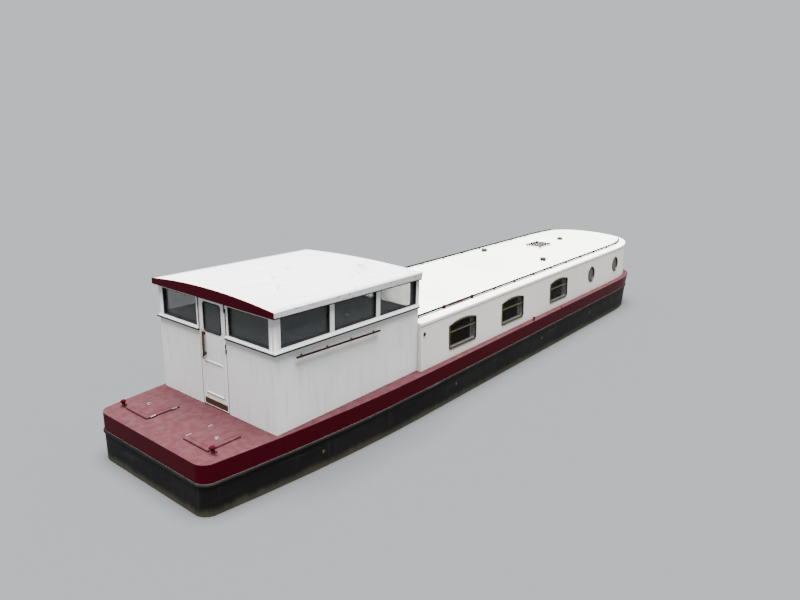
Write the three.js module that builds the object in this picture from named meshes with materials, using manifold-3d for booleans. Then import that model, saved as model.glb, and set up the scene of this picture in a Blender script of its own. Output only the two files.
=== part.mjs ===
import * as THREE from 'three';
import { mergeVertices } from 'three/addons/utils/BufferGeometryUtils.js';
import Module from 'manifold-3d';

const wasm = await Module();
wasm.setup();

// A steel widebeam canal boat, in millimetres: X to the bow, Y to port, Z up.
// The origin is on the underside of the baseplate, halfway between the bow's tip
// and the rubbing strake that stands proud of the transom.
// Stations are distances ahead of the transom; "above deck" follows the sheer line.

// Hull
const LENGTH = 14625;
const DRAUGHT = 600;
const DECK_AT_STERN = 1343;
const SHEER = 0.0085;
const BASEPLATE = 15;
const WALL = 50;
const STERN_TAPER = 305;
const TAPER_END = 4200;
const CORNER = 200;
const BOW_START = 12250;
const BOW_POWER = 4.3;
const BOW_STEPS = 32;
const BAND_HEIGHT = 275;
const STRAKE_HEIGHT = 45;
const STRAKE_PROUD = 14;
const LEDGE_THICK = 40;
const LEDGE_INNER = 1270;
const COUNTER_BOTTOM = 560;
const COUNTER_PLATE = 12;
const SWIM_POST = 950;
const SWIM_END = 3600;
const SWIM_POST_HALF = 40;

// Hull outlines: half beam and station of the bow's tip at four levels
const HULL = {
  base: { half: 1520, tip: 13900 },
  water: { half: 1541, tip: 14390 },
  strake: { half: 1555, tip: 14465 },
  deck: { half: 1557, tip: 14625 },
};

// Cabin
const CABIN_AFT = 4265;
const CABIN_HALF = 1425;
const CABIN_TIP = 14538;
const CABIN_HEIGHT = 852;
const CABIN_ROOF = 45;
const CABIN_CAMBER = 105;
const ROOF_OVERHANG = 12;
const CABIN_LEAN = 35;
const CABIN_FLOOR = 200;
const DOORWAY_HALF = 350;
const DOORWAY_HEAD = 2080;

// Wheelhouse
const WHEELHOUSE_AFT = 1150;
const WHEELHOUSE_HALF = 1329;
const PANEL = 45;
const SILL = 2575;
const SILL_EDGE = 2503;
const SILL_FOOT = 2488;
const SILL_PROUD = 38;
const HEAD = 3004;
const WHEELHOUSE_ROOF = 60;
const WHEELHOUSE_EDGE = 3100;
const WHEELHOUSE_CAMBER = 82;
const EAVES = 36;
const WHEELHOUSE_FLOOR = 1200;
const FASCIA = 25;
const DOOR_HALF = 300;
const DOOR_THICK = 40;
const DOOR_TOP = 3022;

// Clearances between fixed pieces, and round pieces that turn
const GAP = 0.3;
const RUNNING = 5;

const STERN = (STRAKE_PROUD - LENGTH) / 2;
const ahead = (station) => STERN + station;
const deck = (station) => DECK_AT_STERN + SHEER * station;

// Finishes
const paint = (color, roughness = 0.4, metalness = 0) =>
  new THREE.MeshStandardMaterial({ color, roughness, metalness });
const finishes = {
  black: paint(0x16181a, 0.55),
  maroon: paint(0x4a1822, 0.35),
  cream: paint(0xe9e4d8, 0.35),
  roofWhite: paint(0xf2eee2, 0.5),
  gelcoat: paint(0xd2d0cc, 0.6),
  white: paint(0xe6e6e2, 0.4),
  lining: paint(0xb9bfae, 0.7),
  boards: paint(0x8a5c34, 0.6),
  glass: paint(0x20262a, 0.08),
  frame: paint(0x1b1916, 0.35, 0.4),
  bezel: paint(0x8c8a84, 0.3, 0.8),
  rail: paint(0x1c1a1a, 0.4, 0.3),
  vent: paint(0x4b4a48, 0.35, 0.6),
  steel: paint(0x34302c, 0.5, 0.6),
  bronze: paint(0x9a6a34, 0.35, 0.8),
  engine: paint(0x2f5a44, 0.5, 0.2),
  cloth: paint(0x2f5f9e, 0.9),
  varnish: paint(0x6b3f1e, 0.3),
};

// Solids from closed geometries, and meshes from solids
function solid(geometry, matrix) {
  const bare = geometry.clone();
  if (matrix) bare.applyMatrix4(matrix);
  bare.deleteAttribute('normal');
  bare.deleteAttribute('uv');
  const merged = mergeVertices(bare, 1e-3);
  return new wasm.Manifold(new wasm.Mesh({
    numProp: 3,
    vertProperties: new Float32Array(merged.attributes.position.array),
    triVerts: new Uint32Array(merged.index.array),
  }));
}

function geometryOf(body) {
  const mesh = body.getMesh();
  const geometry = new THREE.BufferGeometry();
  geometry.setAttribute('position', new THREE.BufferAttribute(new Float32Array(mesh.vertProperties), 3));
  geometry.setIndex(new THREE.BufferAttribute(new Uint32Array(mesh.triVerts), 1));
  return geometry;
}

const at = (x, y, z) => new THREE.Matrix4().makeTranslation(x, y, z);
const box = (length, width, height, x, y, z) =>
  solid(new THREE.BoxGeometry(length, width, height), at(x, y, z));

// A block between its lowest and highest corners
function block(low, high) {
  const size = high.map((value, axis) => value - low[axis]);
  const middle = high.map((value, axis) => (value + low[axis]) / 2);
  return box(...size, ...middle);
}

// A round bar from one point to another
function rod(from, to, radius, sides = 12) {
  const start = new THREE.Vector3(...from);
  const along = new THREE.Vector3(...to).sub(start);
  const turn = new THREE.Quaternion().setFromUnitVectors(new THREE.Vector3(0, 1, 0), along.clone().normalize());
  const middle = start.clone().addScaledVector(along, 0.5);
  const matrix = new THREE.Matrix4().compose(middle, turn, new THREE.Vector3(1, 1, 1));
  return solid(new THREE.CylinderGeometry(radius, radius, along.length(), sides), matrix);
}

// Twice the signed area of a flat outline
const signedArea = (outline) => outline.reduce((sum, p, k) => {
  const q = outline[(k + 1) % outline.length];
  return sum + p.x * q.y - q.x * p.y;
}, 0);

// A closed body through rings of equally many points, with flat ends
function loft(rings) {
  const count = rings[0].length;
  const last = (rings.length - 1) * count;
  const points = rings.flat();
  const index = [];
  for (let i = 0; i < rings.length - 1; i += 1) {
    for (let j = 0; j < count; j += 1) {
      const a = i * count + j;
      const b = i * count + (j + 1) % count;
      index.push(a, b, b + count, a, b + count, a + count);
    }
  }
  const close = (ring, offset, sameWay) => {
    const spans = [0, 1, 2].map((axis) => {
      const values = ring.map((p) => p[axis]);
      return Math.max(...values) - Math.min(...values);
    });
    const across = spans.indexOf(Math.min(...spans));
    const flat = ring.map((p) => new THREE.Vector2(p[(across + 1) % 3], p[(across + 2) % 3]));
    const ringWay = signedArea(flat) > 0;
    for (const [a, b, c] of THREE.ShapeUtils.triangulateShape(flat, [])) {
      const faceWay = signedArea([flat[a], flat[b], flat[c]]) > 0;
      if ((faceWay === ringWay) === sameWay) index.push(offset + a, offset + b, offset + c);
      else index.push(offset + a, offset + c, offset + b);
    }
  };
  close(rings[0], 0, false);
  close(rings[rings.length - 1], last, true);
  let volume = 0;
  for (let k = 0; k < index.length; k += 3) {
    const [p, q, r] = [points[index[k]], points[index[k + 1]], points[index[k + 2]]];
    volume += new THREE.Vector3(...p).dot(new THREE.Vector3(...q).cross(new THREE.Vector3(...r)));
  }
  if (volume < 0) index.reverse();
  const geometry = new THREE.BufferGeometry();
  geometry.setAttribute('position', new THREE.Float32BufferAttribute(points.flat(), 3));
  geometry.setIndex(index);
  return solid(geometry);
}

// A flat outline in X and Y made into a plate from z upwards
function plate(outline, z, thickness) {
  const shape = new THREE.Shape(outline.map(([x, y]) => new THREE.Vector2(x, y)));
  return solid(new THREE.ExtrudeGeometry(shape, { depth: thickness, bevelEnabled: false }), at(0, 0, z));
}

// A panel drawn in Y and Z, made thick along X from its aft face
function crossPanel(shape, x, thickness) {
  const turn = new THREE.Matrix4().makeBasis(
    new THREE.Vector3(0, 1, 0), new THREE.Vector3(0, 0, 1), new THREE.Vector3(1, 0, 0));
  return solid(new THREE.ExtrudeGeometry(shape, { depth: thickness, bevelEnabled: false, curveSegments: 2 }),
    turn.setPosition(x, 0, 0));
}

// A panel drawn in X and Z, made thick inwards from its port face
function sidePanel(shape, y, thickness) {
  const turn = new THREE.Matrix4().makeBasis(
    new THREE.Vector3(1, 0, 0), new THREE.Vector3(0, 0, 1), new THREE.Vector3(0, -1, 0));
  return solid(new THREE.ExtrudeGeometry(shape, { depth: thickness, bevelEnabled: false, curveSegments: 2 }),
    turn.setPosition(0, y, 0));
}

// A body mirrored to the starboard side
function toStarboard(geometry) {
  geometry.scale(1, -1, 1);
  geometry.index.array.reverse();
  return geometry;
}

const boat = new THREE.Group();

function part(name, body, finish, sign = 1, group = boat) {
  const geometry = sign > 0 ? geometryOf(body) : toStarboard(geometryOf(body));
  const mesh = new THREE.Mesh(geometry, finishes[finish]);
  mesh.name = name;
  group.add(mesh);
  return mesh;
}

// Both sides of the boat: end of the name, and the sign of Y
const SIDES = [
  { side: 'port', sign: 1 },
  { side: 'starboard', sign: -1 },
];

// Hull lines. A place on the outline is a station, an angle round the bow,
// or an angle round a stern corner; an inset moves the line inwards.
const taper = (station) => STERN_TAPER * Math.max(0, 1 - station / TAPER_END) ** 2;
const bend = (value) => Math.sign(value) * Math.abs(value) ** (2 / BOW_POWER);

function edge(level, inset, place) {
  if (place.bow !== undefined) {
    const reach = level.tip - BOW_START - inset;
    return [BOW_START + reach * bend(Math.cos(place.bow)), (level.half - inset) * bend(Math.sin(place.bow))];
  }
  if (place.corner !== undefined) {
    const middle = level.half - taper(CORNER) - CORNER;
    const radius = CORNER - inset;
    const across = middle + radius * Math.cos(place.corner);
    return [CORNER - radius * Math.sin(place.corner), place.sign * across];
  }
  return [place.station, (place.sign ?? 1) * (level.half - taper(place.station) - inset)];
}

// One ring of a strip: its rows name a level, an inset and a height
const ring = (rows, place) => rows.map(({ level, inset, height }) => {
  const [station, y] = edge(level, inset, place);
  return [ahead(station), y, height(station)];
});
const strip = (rows, places) => loft(places.map((place) => ring(rows, place)));

const stations = (...list) => list.map((station) => ({ station }));
const bowPlaces = Array.from({ length: BOW_STEPS + 1 }, (_, k) => ({ bow: Math.PI * (0.5 - k / BOW_STEPS) }));
const cornerPlaces = (sign) => [0, 18, 36, 54, 72, 90].map((degrees) => (
  { corner: THREE.MathUtils.degToRad(degrees), sign }));

const onBase = () => BASEPLATE + GAP;
const onWater = () => DRAUGHT;
const onCounter = () => COUNTER_BOTTOM;
const belowDeck = (drop) => (station) => deck(station) - drop;
const strakeFoot = BAND_HEIGHT + STRAKE_HEIGHT;

// Side plating: bottom row, waterline row, half round rubbing strake, and the inner face
const platingRows = (foot, footHeight) => [
  { level: foot, inset: 0, height: footHeight },
  { level: HULL.water, inset: 0, height: onWater },
  { level: HULL.strake, inset: 0, height: belowDeck(strakeFoot) },
  { level: HULL.strake, inset: -STRAKE_PROUD, height: belowDeck(strakeFoot - 10) },
  { level: HULL.strake, inset: -STRAKE_PROUD, height: belowDeck(BAND_HEIGHT + 12) },
  { level: HULL.strake, inset: 0, height: belowDeck(BAND_HEIGHT + GAP) },
  { level: HULL.strake, inset: WALL, height: belowDeck(BAND_HEIGHT + GAP) },
  { level: HULL.water, inset: WALL, height: onWater },
  { level: foot, inset: WALL, height: footHeight },
];

// Underwater stern: the swim narrows to the stern post in an easy S
const swimShare = (station) => THREE.MathUtils.smoothstep(station, SWIM_POST, SWIM_END);
const swimHalf = (level, station) =>
  SWIM_POST_HALF + (level.half - taper(station) - SWIM_POST_HALF) * swimShare(station);
const swimStations = Array.from({ length: 9 }, (_, k) => SWIM_POST + (SWIM_END - SWIM_POST) * k / 8);

const bothSides = (line) => [...line, ...line.map(([x, y]) => [x, -y]).reverse()];

// Baseplate
const baseLine = [
  ...swimStations.map((station) => [ahead(station), swimHalf(HULL.base, station)]),
  ...bowPlaces.slice(0, BOW_STEPS / 2).map((place) => {
    const [station, y] = edge(HULL.base, 0, place);
    return [ahead(station), y];
  }),
];
part('baseplate', plate(bothSides(baseLine), 0, BASEPLATE), 'black');

// Hull sides, the bow, the transom and the swim
const notch = block([STERN - 10, 0, -10], [ahead(SWIM_END), 2000, COUNTER_BOTTOM]);
for (const { side, sign } of SIDES) {
  const places = stations(CORNER + GAP, 900, 1700, 2500, 3300, TAPER_END, BOW_START - GAP);
  part(`hull_side_${side}`, strip(platingRows(HULL.base, onBase), places).subtract(notch), 'black', sign);
}
part('bow_plating', strip(platingRows(HULL.base, onBase), bowPlaces), 'black');
part('transom', strip(platingRows(HULL.water, onCounter), [...cornerPlaces(1), ...cornerPlaces(-1).reverse()]),
  'black');

const SHAFT_RADIUS = 20;
const SHAFT_HEIGHT = 295;
const SHAFT_BORE = 20.8;
const shaftBore = rod([ahead(SWIM_POST - 10), 0, SHAFT_HEIGHT], [ahead(SWIM_END), 0, SHAFT_HEIGHT], SHAFT_BORE, 16);
const swimTop = COUNTER_BOTTOM - GAP;
for (const { side, sign } of SIDES) {
  const rings = swimStations.map((station) => {
    const x = ahead(Math.min(station, SWIM_END - GAP));
    const low = swimHalf(HULL.base, station);
    const high = swimHalf(HULL.water, station);
    return [
      [x, low, BASEPLATE + GAP], [x, high, swimTop],
      [x, Math.max(high - WALL, GAP), swimTop], [x, Math.max(low - WALL, GAP), BASEPLATE + GAP],
    ];
  });
  part(`swim_${side}`, loft(rings).subtract(shaftBore), 'black', sign);
}

// Counter plate above the propeller, open above the engine bay, with the rudder's trunk
const RUDDER_STATION = 330;
const STOCK_RADIUS = 25;
const COUNTER_END = 3300;
const BAY_START = 1400;
const counterLine = [
  ...cornerPlaces(1).reverse().map((place) => edge(HULL.water, WALL + 2, place)),
  ...[900, 1700, 2500, COUNTER_END].map((station) => edge(HULL.water, WALL + 2, { station })),
  ...[COUNTER_END, 3000, 2600, 2200, 1800, BAY_START].map((station) => (
    [station, swimHalf(HULL.water, station) - WALL])),
].map(([station, y]) => [ahead(station), y]);
const trunk = rod([ahead(RUDDER_STATION), 0, 500], [ahead(RUDDER_STATION), 0, 700], STOCK_RADIUS + RUNNING);
part('counter_plate', plate(bothSides(counterLine), COUNTER_BOTTOM, COUNTER_PLATE).subtract(trunk), 'black');

// Skeg with the pin that the rudder turns on
const SKEG_END = 200;
const SKEG_HALF = 45;
const SKEG_THICK = 25;
const PIN_RADIUS = 16;
const PIN_TOP = 70;
const skegBar = block([ahead(SKEG_END), -SKEG_HALF, 0], [ahead(SWIM_POST) - GAP, SKEG_HALF, SKEG_THICK]);
part('skeg', skegBar.add(
  rod([ahead(RUDDER_STATION), 0, SKEG_THICK - 5], [ahead(RUDDER_STATION), 0, PIN_TOP], PIN_RADIUS)), 'black');

// Rudder: stock, heel bearing and a balanced blade
const BLADE_LOW = 60;
const BLADE_HIGH = 520;
const BLADE_THICK = 16;
const BLADE_AFT = 210;
const BLADE_FORWARD = 95;
const rudder = new THREE.Group();
rudder.position.set(ahead(RUDDER_STATION), 0, 0);
boat.add(rudder);
const blade = block([-BLADE_AFT, -BLADE_THICK / 2, BLADE_LOW], [BLADE_FORWARD, BLADE_THICK / 2, BLADE_HIGH]);
const heel = rod([0, 0, SKEG_THICK + 2], [0, 0, 110], STOCK_RADIUS + 7);
const stock = rod([0, 0, 90], [0, 0, COUNTER_BOTTOM + 70], STOCK_RADIUS);
const heelBore = rod([0, 0, 0], [0, 0, PIN_TOP + 3], PIN_RADIUS + 0.8);
part('rudder', blade.add(heel).add(stock).subtract(heelBore), 'steel', 1, rudder);

// Propeller: three blades, a hub and the shaft that enters the stern post
const PROPELLER_STATION = 745;
const PROPELLER_RADIUS = 225;
const HUB_RADIUS = 42;
const HUB_HALF = 50;
const BLADE_PITCH = 35;
const propeller = new THREE.Group();
propeller.position.set(ahead(PROPELLER_STATION), 0, SHAFT_HEIGHT);
boat.add(propeller);
const hub = rod([-HUB_HALF, 0, 0], [HUB_HALF, 0, 0], HUB_RADIUS, 16);
const shaft = rod([0, 0, 0], [700, 0, 0], SHAFT_RADIUS, 16);
const bladeOutline = new THREE.Shape();
bladeOutline.moveTo(-28, 30);
bladeOutline.bezierCurveTo(-120, 110, -110, PROPELLER_RADIUS, 0, PROPELLER_RADIUS);
bladeOutline.bezierCurveTo(110, PROPELLER_RADIUS, 120, 110, 28, 30);
const bladeGeometry = new THREE.ExtrudeGeometry(bladeOutline, { depth: 10, bevelEnabled: false, curveSegments: 6 });
bladeGeometry.translate(0, 0, -5);
bladeGeometry.rotateY(THREE.MathUtils.degToRad(BLADE_PITCH + 90));
let screw = hub.add(shaft);
for (let k = 0; k < 3; k += 1) {
  screw = screw.add(solid(bladeGeometry, new THREE.Matrix4().makeRotationX(k * Math.PI * 2 / 3)));
}
part('propeller', screw, 'bronze', 1, propeller);

// Engine: one block on the centreline below the wheelhouse floor
part('engine', block([ahead(2300), -280, BASEPLATE + GAP], [ahead(3300), 280, 780]), 'engine');

// Maroon gunwales: an upright band and a ledge that carries the walls
const ledgeInset = (station) => HULL.deck.half - taper(station) - LEDGE_INNER;
const STERN_DECK_END = 1210;
function gunwaleRing(place) {
  const ledge = place.bow === undefined ? ledgeInset(place.station) : ledgeInset(TAPER_END);
  return ring([
    { level: HULL.strake, inset: 0, height: belowDeck(BAND_HEIGHT) },
    { level: HULL.deck, inset: 0, height: deck },
    { level: HULL.deck, inset: ledge, height: deck },
    { level: HULL.deck, inset: ledge, height: belowDeck(LEDGE_THICK) },
    { level: HULL.deck, inset: WALL, height: belowDeck(LEDGE_THICK) },
    { level: HULL.strake, inset: WALL, height: belowDeck(BAND_HEIGHT) },
  ], place);
}
for (const { side, sign } of SIDES) {
  const places = stations(STERN_DECK_END + GAP, 1700, 2500, 3300, TAPER_END, BOW_START - GAP);
  part(`gunwale_${side}`, loft(places.map(gunwaleRing)), 'maroon', sign);
}
part('gunwale_bow', loft(bowPlaces.map(gunwaleRing)), 'maroon');

// Stern deck: the same band round the transom, the deck plate and the step down inside
const sternPlaces = (sign) => [
  ...[STERN_DECK_END, 700, CORNER + 1].map((station) => ({ station, sign })), ...cornerPlaces(sign)];
const sternBand = strip([
  { level: HULL.strake, inset: 0, height: belowDeck(BAND_HEIGHT) },
  { level: HULL.deck, inset: 0, height: deck },
  { level: HULL.deck, inset: WALL, height: deck },
  { level: HULL.strake, inset: WALL, height: belowDeck(BAND_HEIGHT) },
], [...sternPlaces(1), ...sternPlaces(-1).reverse()]);
const deckPlate = loft(sternPlaces(1).map((place) => {
  const [station, half] = edge(HULL.deck, WALL / 2, place);
  const [x, low, high] = [ahead(station), deck(station) - LEDGE_THICK, deck(station)];
  return [[x, half, low], [x, half, high], [x, -half, high], [x, -half, low]];
}));
const riser = block([ahead(STERN_DECK_END - 20), -LEDGE_INNER, WHEELHOUSE_FLOOR - 60],
  [ahead(STERN_DECK_END), LEDGE_INNER, deck(STERN_DECK_END) - 10]);
part('stern_deck', sternBand.add(deckPlate).add(riser), 'maroon');

// Wheelhouse floor and cabin floor; the cabin's has the two steps up to the doorway
const floorLine = [STERN_DECK_END + GAP, 1700, 2500, 3300, 4200, CABIN_AFT - GAP].map((station) => (
  [ahead(station), HULL.strake.half - taper(station) - WALL - 1]));
part('wheelhouse_floor', plate(bothSides(floorLine), WHEELHOUSE_FLOOR - 40, 40), 'boards');

const FLOOR_HALF = 1465;
const STEP_RISE = 200;
const STEP_GOING = 240;
const cabinFloorLine = [
  [ahead(CABIN_AFT + GAP), FLOOR_HALF], [ahead(BOW_START), FLOOR_HALF],
  ...bowPlaces.slice(1, BOW_STEPS / 2).map((place) => {
    const [station, y] = edge(HULL.base, WALL + 5, place);
    return [ahead(station), y];
  }),
];
let cabinFloor = plate(bothSides(cabinFloorLine), BASEPLATE + GAP, CABIN_FLOOR - BASEPLATE - GAP);
const CABIN_WALL_AFT = CABIN_AFT + GAP;
const BULKHEAD_FORE = CABIN_WALL_AFT + PANEL;
for (let k = 1; k <= 4; k += 1) {
  const reach = (5 - k) * STEP_GOING;
  cabinFloor = cabinFloor.add(block([ahead(BULKHEAD_FORE + 5), -DOORWAY_HALF + 20, CABIN_FLOOR - 5],
    [ahead(BULKHEAD_FORE + 5 + reach), DOORWAY_HALF - 20, CABIN_FLOOR + k * STEP_RISE]));
}
part('cabin_floor', cabinFloor, 'boards');

// Cabin lines: the walls lean in towards the roof
const CABIN = {
  foot: { half: CABIN_HALF, tip: CABIN_TIP },
  eaves: { half: CABIN_HALF - CABIN_LEAN, tip: CABIN_TIP - CABIN_LEAN },
};
const wallHeight = CABIN_HEIGHT - CABIN_ROOF;
const lean = Math.atan(CABIN_LEAN / wallHeight);
const roofTop = (station, y) =>
  deck(station) + CABIN_HEIGHT + CABIN_CAMBER * (1 - (y / CABIN.eaves.half) ** 2);

function roofBody(overhang, drop, thickness) {
  const level = { half: CABIN.eaves.half + overhang, tip: CABIN.eaves.tip + overhang };
  const tip = THREE.MathUtils.degToRad(2);
  const places = [
    ...stations(CABIN_WALL_AFT, 8000),
    ...Array.from({ length: BOW_STEPS / 2 + 1 }, (_, k) => (
      { bow: Math.max(Math.PI / 2 - k * Math.PI / BOW_STEPS, tip) })),
  ];
  const across = Array.from({ length: 15 }, (_, k) => k / 7 - 1);
  return loft(places.map((place) => {
    const [station, half] = edge(level, 0, place);
    const line = across.map((share) => [ahead(station), share * half, roofTop(station, share * half) - drop]);
    return [...line, ...line.map(([x, y, z]) => [x, y, z - thickness]).reverse()];
  }));
}
const cabinRoof = part('cabin_roof', roofBody(ROOF_OVERHANG, 0, CABIN_ROOF), 'roofWhite');
const underRoof = roofBody(ROOF_OVERHANG, CABIN_ROOF - 400 + 0.5, 400);

// Height at which a round foot just clears the cambered roof
const plumb = new THREE.Raycaster();
const down = new THREE.Vector3(0, 0, -1);
function seatOn(station, y, radius) {
  const heights = Array.from({ length: 12 }, (_, k) => {
    const angle = k * Math.PI / 6;
    const start = new THREE.Vector3(ahead(station) + radius * Math.cos(angle), y + radius * Math.sin(angle), 5000);
    plumb.set(start, down);
    return plumb.intersectObject(cabinRoof)[0].point.z;
  });
  return Math.max(...heights) + GAP;
}

const leanAt = (height) => CABIN_LEAN * height / wallHeight;
const wallRows = (top) => [
  { level: CABIN.foot, inset: 0, height: belowDeck(-GAP) },
  { level: CABIN.foot, inset: leanAt(top), height: belowDeck(-top) },
  { level: CABIN.foot, inset: leanAt(top) + WALL, height: belowDeck(-top) },
  { level: CABIN.foot, inset: WALL, height: belowDeck(-GAP) },
];

// Arched windows and portholes, drawn on the wall's face with Y outwards
function archShape(inset) {
  const half = WINDOW.width / 2 - inset;
  const foot = inset;
  const springing = WINDOW.springing;
  const rise = WINDOW.rise - inset;
  const radius = (half ** 2 + rise ** 2) / (2 * rise);
  const spread = Math.asin(half / radius);
  const corner = WINDOW.corner - inset / 2;
  const shape = new THREE.Shape();
  shape.moveTo(-half + corner, foot);
  shape.lineTo(half - corner, foot);
  shape.absarc(half - corner, foot + corner, corner, -Math.PI / 2, 0);
  shape.lineTo(half, springing);
  shape.absarc(0, springing + rise - radius, radius, Math.PI / 2 - spread, Math.PI / 2 + spread);
  shape.lineTo(-half, foot + corner);
  shape.absarc(-half + corner, foot + corner, corner, Math.PI, Math.PI * 1.5);
  return shape;
}
const WINDOW = { width: 915, springing: 454, rise: 72, corner: 60, sillAboveDeck: 145, stations: [5560, 7420, 9570] };
const PORTHOLE = { radius: 197, bore: 172, sides: 16, aboveDeck: 430, stations: [11430, 13025] };

function rimmed(outer, inner, y, depth) {
  const shape = archShape(outer);
  shape.holes.push(archShape(inner));
  return sidePanel(shape, y, depth);
}
const windowBody = rimmed(0, 34, 10, 10 - GAP)
  .add(rimmed(22, 34, 5, 45))
  .add(sidePanel(archShape(30), -20, 6))
  .add(block([-WINDOW.width / 2 + 28, -24, 318], [WINDOW.width / 2 - 28, -2, 336]));
const windowOpening = sidePanel(archShape(20), 60, 160);

const porthole = new THREE.LatheGeometry([
  [0, -24], [PORTHOLE.bore - GAP, -24], [PORTHOLE.bore - GAP, GAP], [PORTHOLE.radius, GAP], [PORTHOLE.radius, 6],
  [PORTHOLE.radius - 12, 14], [PORTHOLE.bore - 12, 14], [PORTHOLE.bore - 20, 4], [PORTHOLE.bore - 20, -16], [0, -16],
].map(([radius, y]) => new THREE.Vector2(radius, y)), PORTHOLE.sides);
const portholeBody = solid(porthole);
const portholeOpening = rod([0, -100, 0], [0, 60, 0], PORTHOLE.bore, PORTHOLE.sides);

// A frame on the wall's face at a station and a height above deck, turned with the wall
function wallFrame(station, height, sign) {
  const share = Math.max(0, station - BOW_START) / (CABIN_TIP - BOW_START);
  const fullness = 1 - share ** BOW_POWER;
  const half = CABIN_HALF * fullness ** (1 / BOW_POWER) - leanAt(height);
  const slope = CABIN_HALF / (CABIN_TIP - BOW_START) * share ** (BOW_POWER - 1) * fullness ** (1 / BOW_POWER - 1);
  const frame = new THREE.Group();
  frame.position.set(ahead(station), sign * half, deck(station) + height);
  frame.rotation.set(sign * lean, 0, -sign * Math.atan(slope), 'ZXY');
  frame.updateMatrix();
  return frame;
}
const placed = (body, frame) => solid(geometryOf(body), frame.matrix);

const openings = [
  ...WINDOW.stations.map((station) => placed(windowOpening, wallFrame(station, WINDOW.sillAboveDeck, 1))),
  ...PORTHOLE.stations.map((station) => placed(portholeOpening, wallFrame(station, PORTHOLE.aboveDeck, 1))),
];
for (const { side, sign } of SIDES) {
  let wall = strip(wallRows(wallHeight - 0.6), stations(CABIN_WALL_AFT, BOW_START - GAP));
  for (const opening of openings) wall = wall.subtract(opening);
  part(`cabin_side_${side}`, wall, 'cream', sign);
  WINDOW.stations.forEach((station, k) => {
    const frame = wallFrame(station, WINDOW.sillAboveDeck, sign);
    boat.add(frame);
    part(`window_${side}_${k + 1}`, windowBody, 'frame', sign, frame);
  });
  PORTHOLE.stations.forEach((station, k) => {
    const frame = wallFrame(station, PORTHOLE.aboveDeck, sign);
    boat.add(frame);
    part(`porthole_${side}_${k + 1}`, portholeBody, 'bezel', sign, frame);
  });
}
let front = strip(wallRows(wallHeight + 150), bowPlaces).subtract(underRoof);
for (const opening of openings.slice(-1)) {
  front = front.subtract(opening).subtract(solid(toStarboard(geometryOf(opening))));
}
part('cabin_front', front, 'cream');

// Aft bulkhead of the cabin, in two halves beside the doorway
const ledgeTop = deck(BULKHEAD_FORE) + 1;
const wallInner = (height) => CABIN_HALF - WALL - 2 - leanAt(height);
const roofUnder = (y) => roofTop(CABIN_AFT, y) - CABIN_ROOF - 0.6;
const bulkheadShape = new THREE.Shape([
  [DOORWAY_HALF, CABIN_FLOOR + GAP], [FLOOR_HALF, CABIN_FLOOR + GAP], [FLOOR_HALF, ledgeTop - LEDGE_THICK - 3],
  [LEDGE_INNER - GAP, ledgeTop - LEDGE_THICK - 3], [LEDGE_INNER - GAP, ledgeTop],
  [wallInner(0), ledgeTop], [wallInner(wallHeight), roofUnder(wallInner(wallHeight))],
  ...[1100, 850, 600, DOORWAY_HALF].map((y) => [y, roofUnder(y)]),
].map(([y, z]) => new THREE.Vector2(y, z)));
for (const { side, sign } of SIDES) {
  part(`bulkhead_${side}`, crossPanel(bulkheadShape, ahead(CABIN_WALL_AFT), PANEL), 'lining', sign);
}

// Wheelhouse: side walls with three windows, aft wall round the door, front wall over the cabin roof
const POST = 112;
const FORE_POST = 67;
const MID_POST = 90;
const BAYS = 3;
const bayWidth = (CABIN_AFT - WHEELHOUSE_AFT - POST - FORE_POST - (BAYS - 1) * MID_POST) / BAYS;
const houseRoofTop = (y) => WHEELHOUSE_EDGE + WHEELHOUSE_CAMBER * (1 - (y / WHEELHOUSE_HALF) ** 2);
const houseRoofUnder = (y) => houseRoofTop(y) - WHEELHOUSE_ROOF;
const sideTop = houseRoofUnder(WHEELHOUSE_HALF) - GAP;
const sideShape = new THREE.Shape([
  [ahead(WHEELHOUSE_AFT), deck(WHEELHOUSE_AFT) + GAP + 1], [ahead(CABIN_AFT), deck(CABIN_AFT) + GAP + 1],
  [ahead(CABIN_AFT), sideTop], [ahead(WHEELHOUSE_AFT), sideTop],
].map(([x, z]) => new THREE.Vector2(x, z)));
let sideWall = sidePanel(sideShape, WHEELHOUSE_HALF, PANEL);
for (let k = 0; k < BAYS; k += 1) {
  const start = ahead(WHEELHOUSE_AFT + POST + k * (bayWidth + MID_POST));
  sideWall = sideWall.subtract(block([start, WHEELHOUSE_HALF - 2 * PANEL, SILL],
    [start + bayWidth, WHEELHOUSE_HALF + PANEL, HEAD]));
}
// Sloping sill under the windows, which runs on past the aft corner
const AFT_SILL_PROUD = 30;
const sillShape = new THREE.Shape([
  [WHEELHOUSE_HALF - 1, SILL - 2], [WHEELHOUSE_HALF - 1, SILL_FOOT],
  [WHEELHOUSE_HALF + SILL_PROUD, SILL_FOOT], [WHEELHOUSE_HALF + SILL_PROUD, SILL_EDGE],
].map(([y, z]) => new THREE.Vector2(y, z)));
sideWall = sideWall.add(crossPanel(sillShape, ahead(WHEELHOUSE_AFT) - AFT_SILL_PROUD,
  CABIN_AFT - WHEELHOUSE_AFT + AFT_SILL_PROUD));
const GLASS = 6;
const GLASS_LAP = 18;
const sidePane = block(
  [ahead(WHEELHOUSE_AFT + POST - GLASS_LAP), WHEELHOUSE_HALF - PANEL - GAP - GLASS, SILL - GLASS_LAP],
  [ahead(CABIN_AFT - FORE_POST + GLASS_LAP), WHEELHOUSE_HALF - PANEL - GAP, HEAD + GLASS_LAP]);
for (const { side, sign } of SIDES) {
  part(`wheelhouse_side_${side}`, sideWall, 'white', sign);
  part(`wheelhouse_glass_${side}`, sidePane, 'glass', sign);
}

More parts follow.
